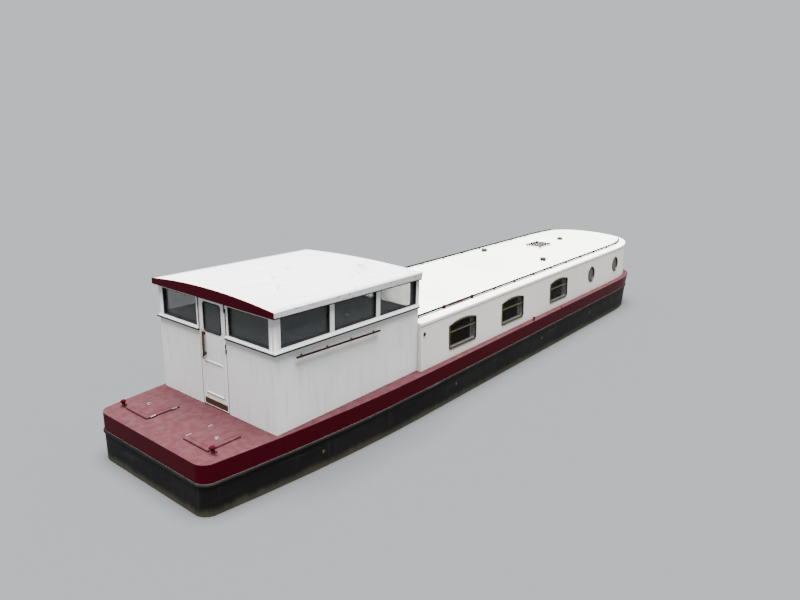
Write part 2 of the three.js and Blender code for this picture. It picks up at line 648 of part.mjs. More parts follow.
const INNER_HALF = WHEELHOUSE_HALF - PANEL - GAP;
const DOORWAY_SIDE = DOOR_HALF + 8;
const HEADER = DOOR_TOP + 8;
const houseCurve = (from, to) => Array.from({ length: 9 }, (_, k) => {
  const y = from + (to - from) * k / 8;
  return new THREE.Vector2(y, houseRoofUnder(y) - 0.6);
});
const aftFoot = deck(WHEELHOUSE_AFT + PANEL) + 1;
const AFT_SILL = 2565;
const AFT_HEAD = 2990;
const AFT_WINDOW_INNER = 365;
const AFT_WINDOW_OUTER = 1225;
const aftWindow = (low, high) => block([ahead(WHEELHOUSE_AFT - PANEL), low, AFT_SILL],
  [ahead(WHEELHOUSE_AFT + 2 * PANEL), high, AFT_HEAD]);
const aftPort = new THREE.Shape([
  new THREE.Vector2(DOORWAY_SIDE, aftFoot), new THREE.Vector2(INNER_HALF, aftFoot),
  ...houseCurve(INNER_HALF, DOORWAY_SIDE),
]);
const aftStarboard = new THREE.Shape([
  new THREE.Vector2(-DOORWAY_SIDE, aftFoot), new THREE.Vector2(-INNER_HALF, aftFoot),
  ...houseCurve(-INNER_HALF, DOORWAY_SIDE - GAP),
  new THREE.Vector2(DOORWAY_SIDE - GAP, HEADER), new THREE.Vector2(-DOORWAY_SIDE, HEADER),
]);
const aftSillShape = new THREE.Shape([
  [ahead(WHEELHOUSE_AFT) + 1, AFT_SILL - 2], [ahead(WHEELHOUSE_AFT) - AFT_SILL_PROUD, SILL_EDGE],
  [ahead(WHEELHOUSE_AFT) - AFT_SILL_PROUD, SILL_FOOT], [ahead(WHEELHOUSE_AFT) + 1, SILL_FOOT],
].map(([x, z]) => new THREE.Vector2(x, z)));
const aftSillOuter = WHEELHOUSE_HALF - 1 - GAP;
const sideCorner = block([ahead(WHEELHOUSE_AFT) - GAP, INNER_HALF, SILL_FOOT - 10],
  [ahead(WHEELHOUSE_AFT) + 10, WHEELHOUSE_HALF + 10, SILL + 10]);
const aftSill = sidePanel(aftSillShape, aftSillOuter, aftSillOuter - DOORWAY_SIDE).subtract(sideCorner);
part('wheelhouse_aft_port', crossPanel(aftPort, ahead(WHEELHOUSE_AFT), PANEL)
  .subtract(aftWindow(AFT_WINDOW_INNER, AFT_WINDOW_OUTER)).add(aftSill), 'white');

// Stern door's hinges: the wall carries a leaf with a knuckle above each of the door's
const HINGE = {
  station: WHEELHOUSE_AFT - 8, y: -DOOR_HALF, radius: 8, heights: [2290, 2890], length: 60, leaf: 45, leafThick: 5,
};
const hingeX = ahead(HINGE.station);
const doorFace = WHEELHOUSE_AFT - HINGE.station;
let aftStarboardWall = crossPanel(aftStarboard, ahead(WHEELHOUSE_AFT), PANEL)
  .subtract(aftWindow(-AFT_WINDOW_OUTER, -AFT_WINDOW_INNER))
  .add(solid(toStarboard(geometryOf(aftSill))));
for (const height of HINGE.heights) {
  const foot = height + HINGE.length + GAP;
  aftStarboardWall = aftStarboardWall
    .add(rod([hingeX, HINGE.y, foot], [hingeX, HINGE.y, foot + HINGE.length], HINGE.radius))
    .add(block([hingeX + doorFace - HINGE.leafThick, HINGE.y - HINGE.leaf, foot],
      [hingeX + doorFace + 1, HINGE.y, foot + HINGE.length]));
}
part('wheelhouse_aft_starboard', aftStarboardWall, 'white');
const aftPane = block(
  [ahead(WHEELHOUSE_AFT + PANEL) + GAP, AFT_WINDOW_INNER - GLASS_LAP, AFT_SILL - GLASS_LAP],
  [ahead(WHEELHOUSE_AFT + PANEL) + GAP + GLASS, AFT_WINDOW_OUTER + GLASS_LAP, AFT_HEAD + GLASS_LAP]);
for (const { side, sign } of SIDES) part(`wheelhouse_glass_aft_${side}`, aftPane, 'glass', sign);

const FRONT_FOOT = DOORWAY_HEAD;
const FRONT_SILL = 2480;
const FRONT_HEAD = 2985;
const FRONT_PANES = 3;
const frontPaneWidth = (2 * INNER_HALF - 2 * MID_POST - (FRONT_PANES - 1) * MID_POST) / FRONT_PANES;
const frontShape = new THREE.Shape([
  new THREE.Vector2(-INNER_HALF, FRONT_FOOT), new THREE.Vector2(INNER_HALF, FRONT_FOOT),
  ...houseCurve(INNER_HALF, -INNER_HALF),
]);
let frontWall = crossPanel(frontShape, ahead(CABIN_AFT - PANEL), PANEL);
for (let k = 0; k < FRONT_PANES; k += 1) {
  const start = -INNER_HALF + MID_POST + k * (frontPaneWidth + MID_POST);
  frontWall = frontWall.subtract(block([ahead(CABIN_AFT - 2 * PANEL), start, FRONT_SILL],
    [ahead(CABIN_AFT + PANEL), start + frontPaneWidth, FRONT_HEAD]));
}
part('wheelhouse_front', frontWall, 'white');
part('wheelhouse_glass_front', block(
  [ahead(CABIN_AFT - PANEL) - GAP - GLASS, -INNER_HALF + MID_POST - GLASS_LAP, FRONT_SILL - GLASS_LAP],
  [ahead(CABIN_AFT - PANEL) - GAP, INNER_HALF - MID_POST + GLASS_LAP, FRONT_HEAD + GLASS_LAP]), 'glass');

// Cambered wheelhouse roof and the maroon fascia on its aft end
const ROOF_HALF = WHEELHOUSE_HALF + EAVES;
const ROOF_AFT = WHEELHOUSE_AFT - 40;
const ROOF_FORE = CABIN_AFT + 35;
const camberLine = (half, rise) => Array.from({ length: 21 }, (_, k) => {
  const y = half * (k / 10 - 1);
  return new THREE.Vector2(y, houseRoofTop(y) + rise);
});
const roofShape = new THREE.Shape([
  ...camberLine(ROOF_HALF, 0), ...camberLine(ROOF_HALF, -WHEELHOUSE_ROOF).reverse()]);
part('wheelhouse_roof', crossPanel(roofShape, ahead(ROOF_AFT), ROOF_FORE - ROOF_AFT), 'gelcoat');
const FASCIA_FOOT = DOOR_TOP + 6;
const fasciaShape = new THREE.Shape([
  ...camberLine(ROOF_HALF, 4), new THREE.Vector2(ROOF_HALF, FASCIA_FOOT), new THREE.Vector2(-ROOF_HALF, FASCIA_FOOT)]);
part('wheelhouse_fascia', crossPanel(fasciaShape, ahead(ROOF_AFT - FASCIA) - GAP, FASCIA), 'maroon');

// Stern door, hinged on its starboard edge, with an upright pull handle
const DOOR_FOOT = deck(WHEELHOUSE_AFT) + 14;
const DOOR_GLASS = { half: 200, low: 2530, high: 2960, corner: 40 };
const door = new THREE.Group();
door.position.set(hingeX, HINGE.y, 0);
boat.add(door);
function roundedOpening(inset) {
  const shape = new THREE.Shape();
  const half = DOOR_GLASS.half - inset;
  const corner = DOOR_GLASS.corner - inset;
  const centre = -HINGE.y;
  const [low, high] = [DOOR_GLASS.low + inset, DOOR_GLASS.high - inset];
  shape.moveTo(centre - half + corner, low);
  shape.absarc(centre + half - corner, low + corner, corner, -Math.PI / 2, 0);
  shape.absarc(centre + half - corner, high - corner, corner, 0, Math.PI / 2);
  shape.absarc(centre - half + corner, high - corner, corner, Math.PI / 2, Math.PI);
  shape.absarc(centre - half + corner, low + corner, corner, Math.PI, Math.PI * 1.5);
  return shape;
}
let doorBody = block([doorFace, 0, DOOR_FOOT], [doorFace + DOOR_THICK, 2 * DOOR_HALF, DOOR_TOP])
  .subtract(crossPanel(roundedOpening(0), doorFace - PANEL, 3 * PANEL));
for (const height of HINGE.heights) {
  doorBody = doorBody
    .add(rod([0, 0, height], [0, 0, height + HINGE.length], HINGE.radius))
    .add(block([doorFace - HINGE.leafThick, 0, height], [doorFace + 1, HINGE.leaf, height + HINGE.length]));
}
const HANDLE = { y: 520, low: 2149, high: 2573, half: 13, off: 30, thick: 14 };
doorBody = doorBody.add(block([doorFace - HANDLE.off - HANDLE.thick, HANDLE.y - HANDLE.half, HANDLE.low],
  [doorFace - HANDLE.off, HANDLE.y + HANDLE.half, HANDLE.high]));
for (const z of [HANDLE.low + 40, HANDLE.high - 40]) {
  doorBody = doorBody.add(rod([doorFace - HANDLE.off - 2, HANDLE.y, z], [doorFace + 2, HANDLE.y, z], 9));
}
part('stern_door', doorBody, 'white', 1, door);
part('stern_door_glass', crossPanel(roundedOpening(GAP), doorFace + 17, GLASS), 'glass', 1, door);

// Helm: a console on the floor, and a spoked steering wheel on its aft face
const HELM = { y: -760, station: 3880, height: 2050, depth: 330, half: 260, top: 2260, front: 2160 };
part('helm_console', loft([-HELM.half, HELM.half].map((offset) => [
  [ahead(HELM.station), HELM.y + offset, WHEELHOUSE_FLOOR + GAP],
  [ahead(HELM.station + HELM.depth), HELM.y + offset, WHEELHOUSE_FLOOR + GAP],
  [ahead(HELM.station + HELM.depth), HELM.y + offset, HELM.top],
  [ahead(HELM.station), HELM.y + offset, HELM.front],
])), 'varnish');
const WHEEL = { radius: 230, grip: 14, offset: 75, spokes: 6 };
const wheel = new THREE.Group();
wheel.position.set(ahead(HELM.station - WHEEL.offset), HELM.y, HELM.height);
boat.add(wheel);
const rim = new THREE.TorusGeometry(WHEEL.radius, WHEEL.grip, 6, 24);
let wheelBody = solid(rim, new THREE.Matrix4().makeRotationY(Math.PI / 2))
  .add(rod([-22, 0, 0], [22, 0, 0], 45))
  .add(rod([0, 0, 0], [WHEEL.offset - GAP, 0, 0], 15));
for (let k = 0; k < WHEEL.spokes; k += 1) {
  const angle = k * Math.PI * 2 / WHEEL.spokes;
  const reach = WHEEL.radius + 2;
  wheelBody = wheelBody.add(rod([0, 0, 0], [0, reach * Math.sin(angle), reach * Math.cos(angle)], 10, 6));
}
part('steering_wheel', wheelBody, 'varnish', 1, wheel);

// Locker seat along the port side of the wheelhouse, with its cushion
const SEAT = { aft: 2500, fore: 4200, inner: 760, outer: 1270, top: 1610, cushion: 90 };
part('locker_seat', block([ahead(SEAT.aft), SEAT.inner, WHEELHOUSE_FLOOR + GAP],
  [ahead(SEAT.fore), SEAT.outer, SEAT.top]), 'lining');
part('seat_cushion', block([ahead(SEAT.aft + 20), SEAT.inner + 5, SEAT.top + GAP],
  [ahead(SEAT.fore - 20), SEAT.outer - 10, SEAT.top + SEAT.cushion]), 'cloth');

// Handrails: a bar on legs that follows the roof's edge round to the bow
const RAIL = {
  inset: 180, tipInset: 60, height: 38, radius: 12, aft: 4390,
  legs: [4430, 5200, 6130, 6960, 7790, 8650, 9490, 10290, 11130, 11950, 12790, 13540],
};
const railLevel = { half: CABIN.eaves.half - RAIL.inset, tip: CABIN.eaves.tip - RAIL.tipInset };
const railAt = (station) => {
  const share = Math.max(0, station - BOW_START) / (railLevel.tip - BOW_START);
  const y = railLevel.half * (1 - share ** BOW_POWER) ** (1 / BOW_POWER);
  return new THREE.Vector3(ahead(station), y, roofTop(station, y) + RAIL.height);
};
const railStations = [RAIL.aft, 8400, BOW_START, 12800, 13150, 13400, 13600, 13750, 13880, 13980, 14070];
const railLine = new THREE.CurvePath();
railStations.slice(1).forEach((station, k) => {
  railLine.add(new THREE.LineCurve3(railAt(railStations[k]), railAt(station)));
});
const barSection = new THREE.Shape().absarc(0, 0, RAIL.radius, 0, Math.PI * 2);
const railBar = solid(new THREE.ExtrudeGeometry(barSection, {
  steps: 36, curveSegments: 3, extrudePath: railLine, bevelEnabled: false }));
const RAIL_FOOT = 26;
const railLeg = (height) => new THREE.LatheGeometry([
  [0, 0], [RAIL_FOOT, 0], [RAIL_FOOT, 5], [9, 8], [9, height], [0, height],
].map(([radius, y]) => new THREE.Vector2(radius, y)), 6).rotateX(Math.PI / 2);
const rail = RAIL.legs.reduce((body, station) => {
  const top = railAt(station);
  const foot = seatOn(station, top.y, RAIL_FOOT);
  return body.add(solid(railLeg(top.z - foot), at(top.x, top.y, foot)));
}, railBar);
for (const { side, sign } of SIDES) part(`handrail_${side}`, rail, 'rail', sign);

// Mushroom vents on the roof: number, station and offset to port
const VENTS = [
  { name: 1, station: 9950, y: 860 },
  { name: 2, station: 9965, y: -760 },
  { name: 3, station: 12650, y: 80 },
];
const VENT_FOOT = 66;
const ventBody = solid(new THREE.LatheGeometry([
  [0, 0], [VENT_FOOT, 0], [VENT_FOOT, 8], [42, 10], [42, 34], [80, 36], [78, 50], [56, 64], [0, 70],
].map(([radius, y]) => new THREE.Vector2(radius, y)), 14), new THREE.Matrix4().makeRotationX(Math.PI / 2));
for (const { name, station, y } of VENTS) {
  const mesh = part(`roof_vent_${name}`, ventBody, 'vent');
  mesh.position.set(ahead(station), y, seatOn(station, y, VENT_FOOT));
}

// Pole rack on the roof: two bars, five crossbars and four feet
const RACK = { aft: 11080, fore: 11740, low: -85, high: 280, height: 48, radius: 12, crossbars: 5, crossRadius: 14 };
const rackZ = (station) => roofTop(station, 0) + RACK.height;
let rack = null;
const joinRack = (piece) => { rack = rack ? rack.add(piece) : piece; };
for (const y of [RACK.low, RACK.high]) {
  joinRack(rod([ahead(RACK.aft), y, rackZ(RACK.aft)], [ahead(RACK.fore), y, rackZ(RACK.fore)], RACK.radius, 6));
  for (const station of [RACK.aft + 60, RACK.fore - 60]) {
    joinRack(rod([ahead(station), y, seatOn(station, y, 9)], [ahead(station), y, rackZ(station)], 9, 6));
  }
}
for (let k = 0; k < RACK.crossbars; k += 1) {
  const station = RACK.aft + 60 + (RACK.fore - RACK.aft - 120) * k / (RACK.crossbars - 1);
  const z = rackZ(station);
  joinRack(rod([ahead(station), RACK.low - 30, z], [ahead(station), RACK.high + 30, z], RACK.crossRadius, 6));
}
part('roof_rack', rack, 'rail');

export default boat;
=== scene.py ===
import math

import bpy
from mathutils import Matrix, Vector


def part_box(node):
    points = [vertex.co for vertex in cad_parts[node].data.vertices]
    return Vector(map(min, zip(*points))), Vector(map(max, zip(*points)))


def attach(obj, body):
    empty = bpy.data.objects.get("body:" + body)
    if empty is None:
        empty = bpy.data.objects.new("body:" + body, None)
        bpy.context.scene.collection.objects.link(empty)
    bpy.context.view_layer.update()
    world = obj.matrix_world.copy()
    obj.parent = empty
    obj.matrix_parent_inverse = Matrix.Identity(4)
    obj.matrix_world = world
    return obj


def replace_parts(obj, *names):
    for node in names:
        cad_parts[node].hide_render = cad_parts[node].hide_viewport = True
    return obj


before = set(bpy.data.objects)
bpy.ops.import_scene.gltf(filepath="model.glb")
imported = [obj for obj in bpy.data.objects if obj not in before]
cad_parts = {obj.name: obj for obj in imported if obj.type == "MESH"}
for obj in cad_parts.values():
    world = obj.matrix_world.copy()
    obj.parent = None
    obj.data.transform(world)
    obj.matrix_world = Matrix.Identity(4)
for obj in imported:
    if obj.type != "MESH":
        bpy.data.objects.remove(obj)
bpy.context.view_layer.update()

# Camera and studio.
# The eye is astern and to starboard, higher than the roofs. The floor is pale and plain, lies at
# the waterline and is open inside the hull, so that the cabin keeps its own floor.
EYE = (-11.408, -7.5425, 5.5149)
YAW, PITCH, ROLL = 0.6683, 0.2704, 0.0221
UP = Vector((0, 0, 1))
TRANSOM, WATERLINE = -7.3055, 0.6
BOW_START, BOW_POWER = 12.25, 4.3
STERN_CORNER, STERN_END, STERN_TAPER = 0.2, 4.2, 0.305
FLOOR_REACH = 400
SKY, SKY_GLOW, SUN_GLOW = (0.86, 0.88, 0.90), 0.8, 26.0
scene = bpy.context.scene


def linked(name, data):
    """A new object in the scene."""
    made = bpy.data.objects.new(name, data)
    scene.collection.objects.link(made)
    return made


sight = Vector((math.cos(PITCH) * math.cos(YAW), math.cos(PITCH) * math.sin(YAW), -math.sin(PITCH)))
level = sight.cross(UP).normalized()
upright = level.cross(sight)
right = level * math.cos(ROLL) + upright * math.sin(ROLL)
top = upright * math.cos(ROLL) - level * math.sin(ROLL)
camera = linked("camera", bpy.data.cameras.new("camera"))
camera.data.lens = 29.234
camera.data.sensor_width = 36
camera.data.clip_end = 500
camera.matrix_world = Matrix.Translation(EYE) @ Matrix((right, top, -sight)).transposed().to_4x4()
scene.camera = camera


def ahead(station):
    """X of a station, which counts metres ahead of the transom."""
    return TRANSOM + station


def taper(station):
    """How far the hull's side is drawn in towards the stern."""
    return STERN_TAPER * max(0, 1 - station / STERN_END) ** 2


def side_line(half, tip, inset=0.0):
    """Port half of a level line round the hull: (x, y) from astern to the bow's tip."""
    line = []
    soft = STERN_CORNER - inset
    for degrees in range(90, -1, -15):
        turn = math.radians(degrees)
        line.append((ahead(STERN_CORNER - soft * math.sin(turn)),
                     half - taper(STERN_CORNER) - STERN_CORNER + soft * math.cos(turn)))
    for station in (0.7, 1.2, 1.7, 2.2, 2.8, 3.5, 4.2, 6, 8, 10, 12):
        line.append((ahead(station), half - taper(station) - inset))
    for k in range(27):
        turn = math.pi / 2 * (1 - k / 26)
        reach = tip - BOW_START - inset
        line.append((ahead(BOW_START + reach * max(math.cos(turn), 0) ** (2 / BOW_POWER)),
                     (half - inset) * max(math.sin(turn), 0) ** (2 / BOW_POWER)))
    return line


def only(*pieces):
    """Selects these pieces alone. The first one is active."""
    bpy.ops.object.select_all(action="DESELECT")
    for piece in pieces:
        piece.select_set(True)
    bpy.context.view_layer.objects.active = pieces[0]


def mend(piece, *steps):
    """Runs operators of edit mode, each with its settings, on the whole mesh of a piece."""
    only(piece)
    bpy.ops.object.mode_set(mode="EDIT")
    for step, settings in steps:
        bpy.ops.mesh.select_all(action="SELECT")
        step(**settings)
    bpy.ops.object.mode_set(mode="OBJECT")
    return piece


def skin(rows, capped=False):
    """A grid whose rows are laid on rows of points, with its doubles merged and its holes filled."""
    bpy.ops.mesh.primitive_grid_add(x_subdivisions=len(rows[0]) - 1, y_subdivisions=len(rows) - 1)
    piece = bpy.context.object
    piece.data.vertices.foreach_set("co", [value for row in rows for point in row for value in point])
    piece.data.update()
    near = {"threshold": 0.00005}
    holes = [(bpy.ops.mesh.fill_holes, {"sides": 0})] if capped else []
    return mend(piece, (bpy.ops.mesh.remove_doubles, near), (bpy.ops.mesh.dissolve_degenerate, near), *holes,
                (bpy.ops.mesh.normals_make_consistent, {"inside": False}))


port = side_line(1.541, 14.39, inset=0.025)
hull_hole = [(port[0][0], 0.0), *port, *[(x, -y) for x, y in reversed(port)], (port[0][0], 0.0)]
far_edge = [Vector(point).normalized() * FLOOR_REACH for point in hull_hole]
ground = skin([[(*point, WATERLINE) for point in line] for line in (hull_hole, far_edge)])
ground.name = "ground"
pale = bpy.data.materials.new("pale_floor")
pale.use_nodes = True
paleness = [SKY_GLOW * value / (SUN_GLOW / math.pi + SKY_GLOW * value) for value in SKY]
surface = pale.node_tree.nodes["Principled BSDF"].inputs
surface["Base Color"].default_value = (*paleness, 1)
surface["Roughness"].default_value = 1.0
surface["Specular IOR Level"].default_value = 0.0
ground.data.materials.append(pale)

world = bpy.data.worlds.new("studio")
world.use_nodes = True
backdrop = world.node_tree.nodes["Background"].inputs
backdrop["Color"].default_value = (*SKY, 1)
backdrop["Strength"].default_value = SKY_GLOW
scene.world = world
lamp = linked("overhead", bpy.data.lights.new("overhead", "SUN"))
lamp.data.energy = SUN_GLOW
lamp.data.angle = math.radians(50)
lamp.rotation_mode = "QUATERNION"
lamp.rotation_quaternion = Vector((0.05, 0.05, -1)).to_track_quat("-Z", "Y")
lamp.location = (0, 0, 20)

# Hull below the gunwales.
# Steel plate, welded and coated with black bitumen. It is chalky with age, scuffed along the
# rubbing strake and has a tide mark of dried weed just above the waterline.
DECK_AFT, DECK_RISE = 1.343, 0.0085


class Field:
    """A value that varies over a finish. Arithmetic on it adds Math nodes."""

    def __init__(self, finish, socket):
        self.finish = finish
        self.socket = socket

    def math(self, operation, other=0.0):
        return self.finish.node("ShaderNodeMath", {"operation": operation}, {0: self, 1: other})

    def __add__(self, other):
        return self.math("ADD", other)

    def __sub__(self, other):
        return self.math("SUBTRACT", other)

    def __rsub__(self, other):
        return self.finish.node("ShaderNodeMath", {"operation": "SUBTRACT"}, {0: other, 1: self})

    def __mul__(self, other):
        return self.math("MULTIPLY", other)

    def __mod__(self, other):
        return self.math("FLOORED_MODULO", other)

    __radd__ = __add__
    __rmul__ = __mul__


class Finish:
    """A finish of the boat: one shader, and the nodes that vary it over the surface."""

    def __init__(self, name, color, roughness, metallic=0.0, shine=0.5, constants=()):
        self.material = bpy.data.materials.new(name)
        self.material.use_nodes = True
        self.tree = self.material.node_tree
        self.coat = color
        for socket, value in {"Base Color": color, "Roughness": roughness, "Metallic": metallic,
                              "Specular IOR Level": shine, **dict(constants)}.items():
            self.give(socket, value)

    def fill(self, socket, value):
        """Links a socket to a varying value, or sets it."""
        if isinstance(value, Field):
            self.tree.links.new(value.socket, socket)
        else:
            socket.default_value = (*value, 1.0) if socket.type == "RGBA" else value

    def give(self, socket, value):
        """Fills a socket of the shader."""
        self.fill(self.tree.nodes["Principled BSDF"].inputs[socket], value)

    def node(self, kind, settings=(), sockets=(), output=0):
        """Any other node: its settings first, then the values or links of its sockets."""
        made = self.tree.nodes.new(kind)
        for key, value in dict(settings).items():
            setattr(made, key, value)
        for key, value in dict(sockets).items():
            self.fill(made.inputs[key], value)
        return Field(self, made.outputs[output])

    def place(self, stretch=(1, 1, 1)):
        spot = self.node("ShaderNodeTexCoord", output=3)
        return self.node("ShaderNodeMapping", (), {"Vector": spot, "Scale": stretch})

    def axes(self):
        spot = self.node("ShaderNodeTexCoord", output=3)
        return [self.node("ShaderNodeSeparateXYZ", (), {0: spot}, output=k) for k in range(3)]

    def above_deck(self):
        """Height above the gunwale's edge, which rises towards the bow."""
        x, y, z = self.axes()
        return z - (DECK_AFT - DECK_RISE * TRANSOM) - x * DECK_RISE

    def noise(self, scale, detail=3.0, stretch=(1, 1, 1), warp=0.0):
        return self.node("ShaderNodeTexNoise", (), {
            "Vector": self.place(stretch), "Scale": scale, "Detail": detail, "Distortion": warp})

    def mask(self, value, low, high):
        """0 below low and 1 above high, or the other way where low is the higher."""
        return self.node("ShaderNodeMapRange", {"interpolation_type": "SMOOTHSTEP"},
                         {"Value": value, "From Min": low, "From Max": high})

    def within(self, value, low, full, end, fade):
        """A mask that rises from low to full, and falls from fade to end."""
        return self.mask(value, low, full) * self.mask(value, end, fade)

    def blotches(self, scale, detail, low, high, stretch=(1, 1, 1)):
        return self.mask(self.noise(scale, detail, stretch), low, high)

    def layer(self, share, color):
        """Lays a colour over what is there, in a share that may vary."""
        self.coat = self.node("ShaderNodeMix", {"data_type": "RGBA"},
                              {0: share, 6: self.coat, 7: color}, output=2)
        self.give("Base Color", self.coat)

    def relief(self, height, strength, distance):
        self.give("Normal", self.node("ShaderNodeBump", (), {
            "Strength": strength, "Distance": distance, "Height": height}))


def cover(piece, finish):
    """Gives a piece a finish in place of any other."""
    piece.data.materials.clear()
    piece.data.materials.append(finish.material)


def wear(nodes, finish):
    """Gives CAD nodes that stay as they are a finish."""
    for node in nodes:
        cover(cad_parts[node], finish)


def done(piece, name, finish, body="hull", degrees=30):
    """Names a finished piece, lays it in place, paints it and lets it ride on its body."""
    only(piece)
    bpy.ops.object.transform_apply(location=True, rotation=True, scale=True)
    bpy.ops.object.shade_smooth_by_angle(angle=math.radians(degrees))
    piece.name = name
    piece.data.name = name
    cover(piece, finish)
    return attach(piece, body)


def rounded(piece, width, segments=2):
    """Bevels the sharp edges of a piece."""
    only(piece)
    edge = piece.modifiers.new("edges", "BEVEL")
    edge.width = width
    edge.segments = segments
    edge.limit_method = "ANGLE"
    edge.angle_limit = math.radians(35)
    bpy.ops.object.modifier_apply(modifier=edge.name)
    return piece


def dressed(node, finish, bevel=0.0, segments=2, body="hull", degrees=32):
    """A copy of a CAD node whose loose faces are joined, with its corners eased, in the node's place."""
    piece = linked(node + "_dressed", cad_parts[node].data.copy())
    mend(piece, (bpy.ops.mesh.remove_doubles, {"threshold": 0.00002}),
         (bpy.ops.mesh.dissolve_limited, {"angle_limit": math.radians(0.3)}))
    if piece.data.has_custom_normals:
        bpy.ops.mesh.customdata_custom_splitnormals_clear()
    if bevel:
        rounded(piece, bevel, segments)
    done(piece, node + "_skin", finish, body, degrees)
    even = piece.modifiers.new("shading", "WEIGHTED_NORMAL")
    even.keep_sharp = True
    bpy.ops.object.modifier_apply(modifier=even.name)
    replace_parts(piece, node)
    return piece


bitumen = Finish("hull_black", (0.004, 0.004, 0.0045), 0.55, shine=0.08)
x, y, z = bitumen.axes()
runs = bitumen.noise(8, 4, stretch=(1, 1, 0.1))
bitumen.layer(bitumen.blotches(0.9, 5, 0.4, 0.7) * 0.7, (0.009, 0.008, 0.007))
bitumen.layer(bitumen.mask(runs, 0.58, 0.78) * 0.25, (0.028, 0.026, 0.024))
rub = bitumen.blotches(3, 5, 0.6, 0.72, (0.35, 1, 5)) * bitumen.mask(bitumen.above_deck(), -0.62, -0.32)
bitumen.layer(rub * 0.4, (0.045, 0.041, 0.038))
tide = bitumen.mask(z + runs * 0.12 + bitumen.noise(45, 3) * 0.05, 0.83, 0.7)
bitumen.layer(tide * 0.75, (0.05, 0.047, 0.034))
bitumen.give("Roughness", 0.46 + bitumen.noise(6, 4) * 0.25 + tide * 0.2)
seam = bitumen.mask((x + 1.1) % 3.0, 0.022, 0.006)
bitumen.relief(bitumen.noise(60, 3) * 0.25 + bitumen.noise(1.6, 2) * 1.6 + seam * 0.6, 0.35, 0.01)
wear(["baseplate", "hull_side_port", "hull_side_starboard", "transom", "swim_port", "swim_starboard",
      "counter_plate", "skeg"], bitumen)
dressed("bow_plating", bitumen)

# Rubbing strake.
# A half-round steel bar, welded on edge to edge round the whole hull just under the gunwale. It has
# the same black coating as the plating, rubbed a little grey.
STRAKE_MIDDLE = -0.298
HALF_WIDTH, HALF_HEIGHT, ROOT = 0.019, 0.024, -0.004


def deck(station):
    """Height of the gunwale's edge, which rises towards the bow."""
    return DECK_AFT + DECK_RISE * station


port = side_line(1.555, 14.465)
path = port + [(x, -y) for x, y in reversed(port[:-1])]
section = [(HALF_WIDTH * math.sin(math.radians(a)), -HALF_HEIGHT * math.cos(math.radians(a)))
           for a in range(0, 181, 20)]
section = [(ROOT, -HALF_HEIGHT), *section, (ROOT, HALF_HEIGHT), (ROOT, -HALF_HEIGHT)]
rows = []
for before, (x, y), after in zip([path[0], *path], path, [*path[1:], path[-1]]):
    along = Vector(after) - Vector(before)
    away = Vector((along.y, -along.x)).normalized()
    if away.dot((x, y)) < 0:
        away = -away
    height = deck(x - TRANSOM) + STRAKE_MIDDLE
    rows.append([(x + away.x * u, y + away.y * u, height + v) for u, v in section])
done(skin([*rows, rows[0]]), "rubbing_strake", bitumen, degrees=50)

# Gunwales and stern deck.
# Steel, in maroon gloss that has dulled and gathered dust on top, where a lighter tone also paints in
# the sky's reflection. A thin cream line runs along the foot of the upright band. Two lockers in the
# stern deck have raised lids, clear of the door.


def paint(name, color, roughness, dirt, grime, shine=0.5):
    """Brushed or rolled gloss on metal: faint tone changes, drips of dirt, specks and orange peel."""
    made = Finish(name, color, roughness, shine=shine)
    made.layer(made.blotches(0.55, 4, 0.35, 0.75) * 0.7, [value * 0.82 for value in color])
    made.layer(made.blotches(11, 4, 0.55, 0.8, (1, 1, 0.07)) * grime, dirt)
    made.layer(made.blotches(75, 2, 0.69, 0.76) * grime, dirt)
    made.give("Roughness", roughness - 0.06 + made.noise(5, 3) * 0.18)
    made.relief(made.noise(2.2, 3) * 0.6 + made.noise(160, 2) * 0.12, 0.16, 0.012)
    return made


maroon = paint("maroon_gloss", (0.032, 0.0012, 0.0045), 0.35, (0.10, 0.06, 0.06), 0.02, shine=0.02)
rise = maroon.above_deck()
# Tops of the gunwales and deck are lighter: partly dust, partly a painted reflection of the sky.
dust_and_sky_sheen = maroon.within(rise, -0.004, -0.001, 0.06, 0.05) * (0.095 + 0.05 * maroon.blotches(9, 5, 0.35, 0.7))
maroon.layer(dust_and_sky_sheen, (0.205, 0.155, 0.158))
maroon.layer(maroon.within(rise, -0.2755, -0.2745, -0.2665, -0.2675), (0.28, 0.23, 0.19))
maroon.give("Roughness", 0.24 + maroon.noise(5, 3) * 0.14 + dust_and_sky_sheen * 0.4)
for node in ("gunwale_port", "gunwale_starboard", "gunwale_bow", "stern_deck"):
    dressed(node, maroon, bevel=0.006)


def slab(low, high, bevel=0.004, segments=2):
    """A block between two corners, with eased edges."""
    middle = [(a + b) / 2 for a, b in zip(low, high)]
    bpy.ops.mesh.primitive_cube_add(size=1, location=middle, scale=[abs(b - a) for a, b in zip(low, high)])
    bpy.ops.object.transform_apply()
    return rounded(bpy.context.object, bevel, segments)


def tube(points, radius, fineness=2, closed=False):
    """Round bar along a run of points."""
    bpy.ops.curve.primitive_bezier_curve_add()
    path = bpy.context.object.data
    path.splines.clear()
    run = path.splines.new("POLY")
    run.points.add(len(points) - 1)
    run.points.foreach_set("co", [value for point in points for value in (*point, 1)])
    run.use_cyclic_u = closed
    path.dimensions = "3D"
    path.bevel_depth = radius
    path.bevel_resolution = fineness
    path.use_fill_caps = not closed
    bpy.ops.object.convert(target="MESH")
    return mend(bpy.context.object, (bpy.ops.mesh.remove_doubles, {"threshold": 0.00002}),
                (bpy.ops.mesh.normals_make_consistent, {"inside": False}))


def fused(pieces):
    """Several pieces as one object."""
    only(*pieces)
    if len(pieces) > 1:
        bpy.ops.object.join()
    return pieces[0]


def circle(radius, count, first=0.0):
    """Evenly spaced points of a circle, the first of them at an angle in degrees."""
    turns = [math.radians(first + 360 * k / count) for k in range(count)]
    return [(radius * math.cos(turn), radius * math.sin(turn)) for turn in turns]


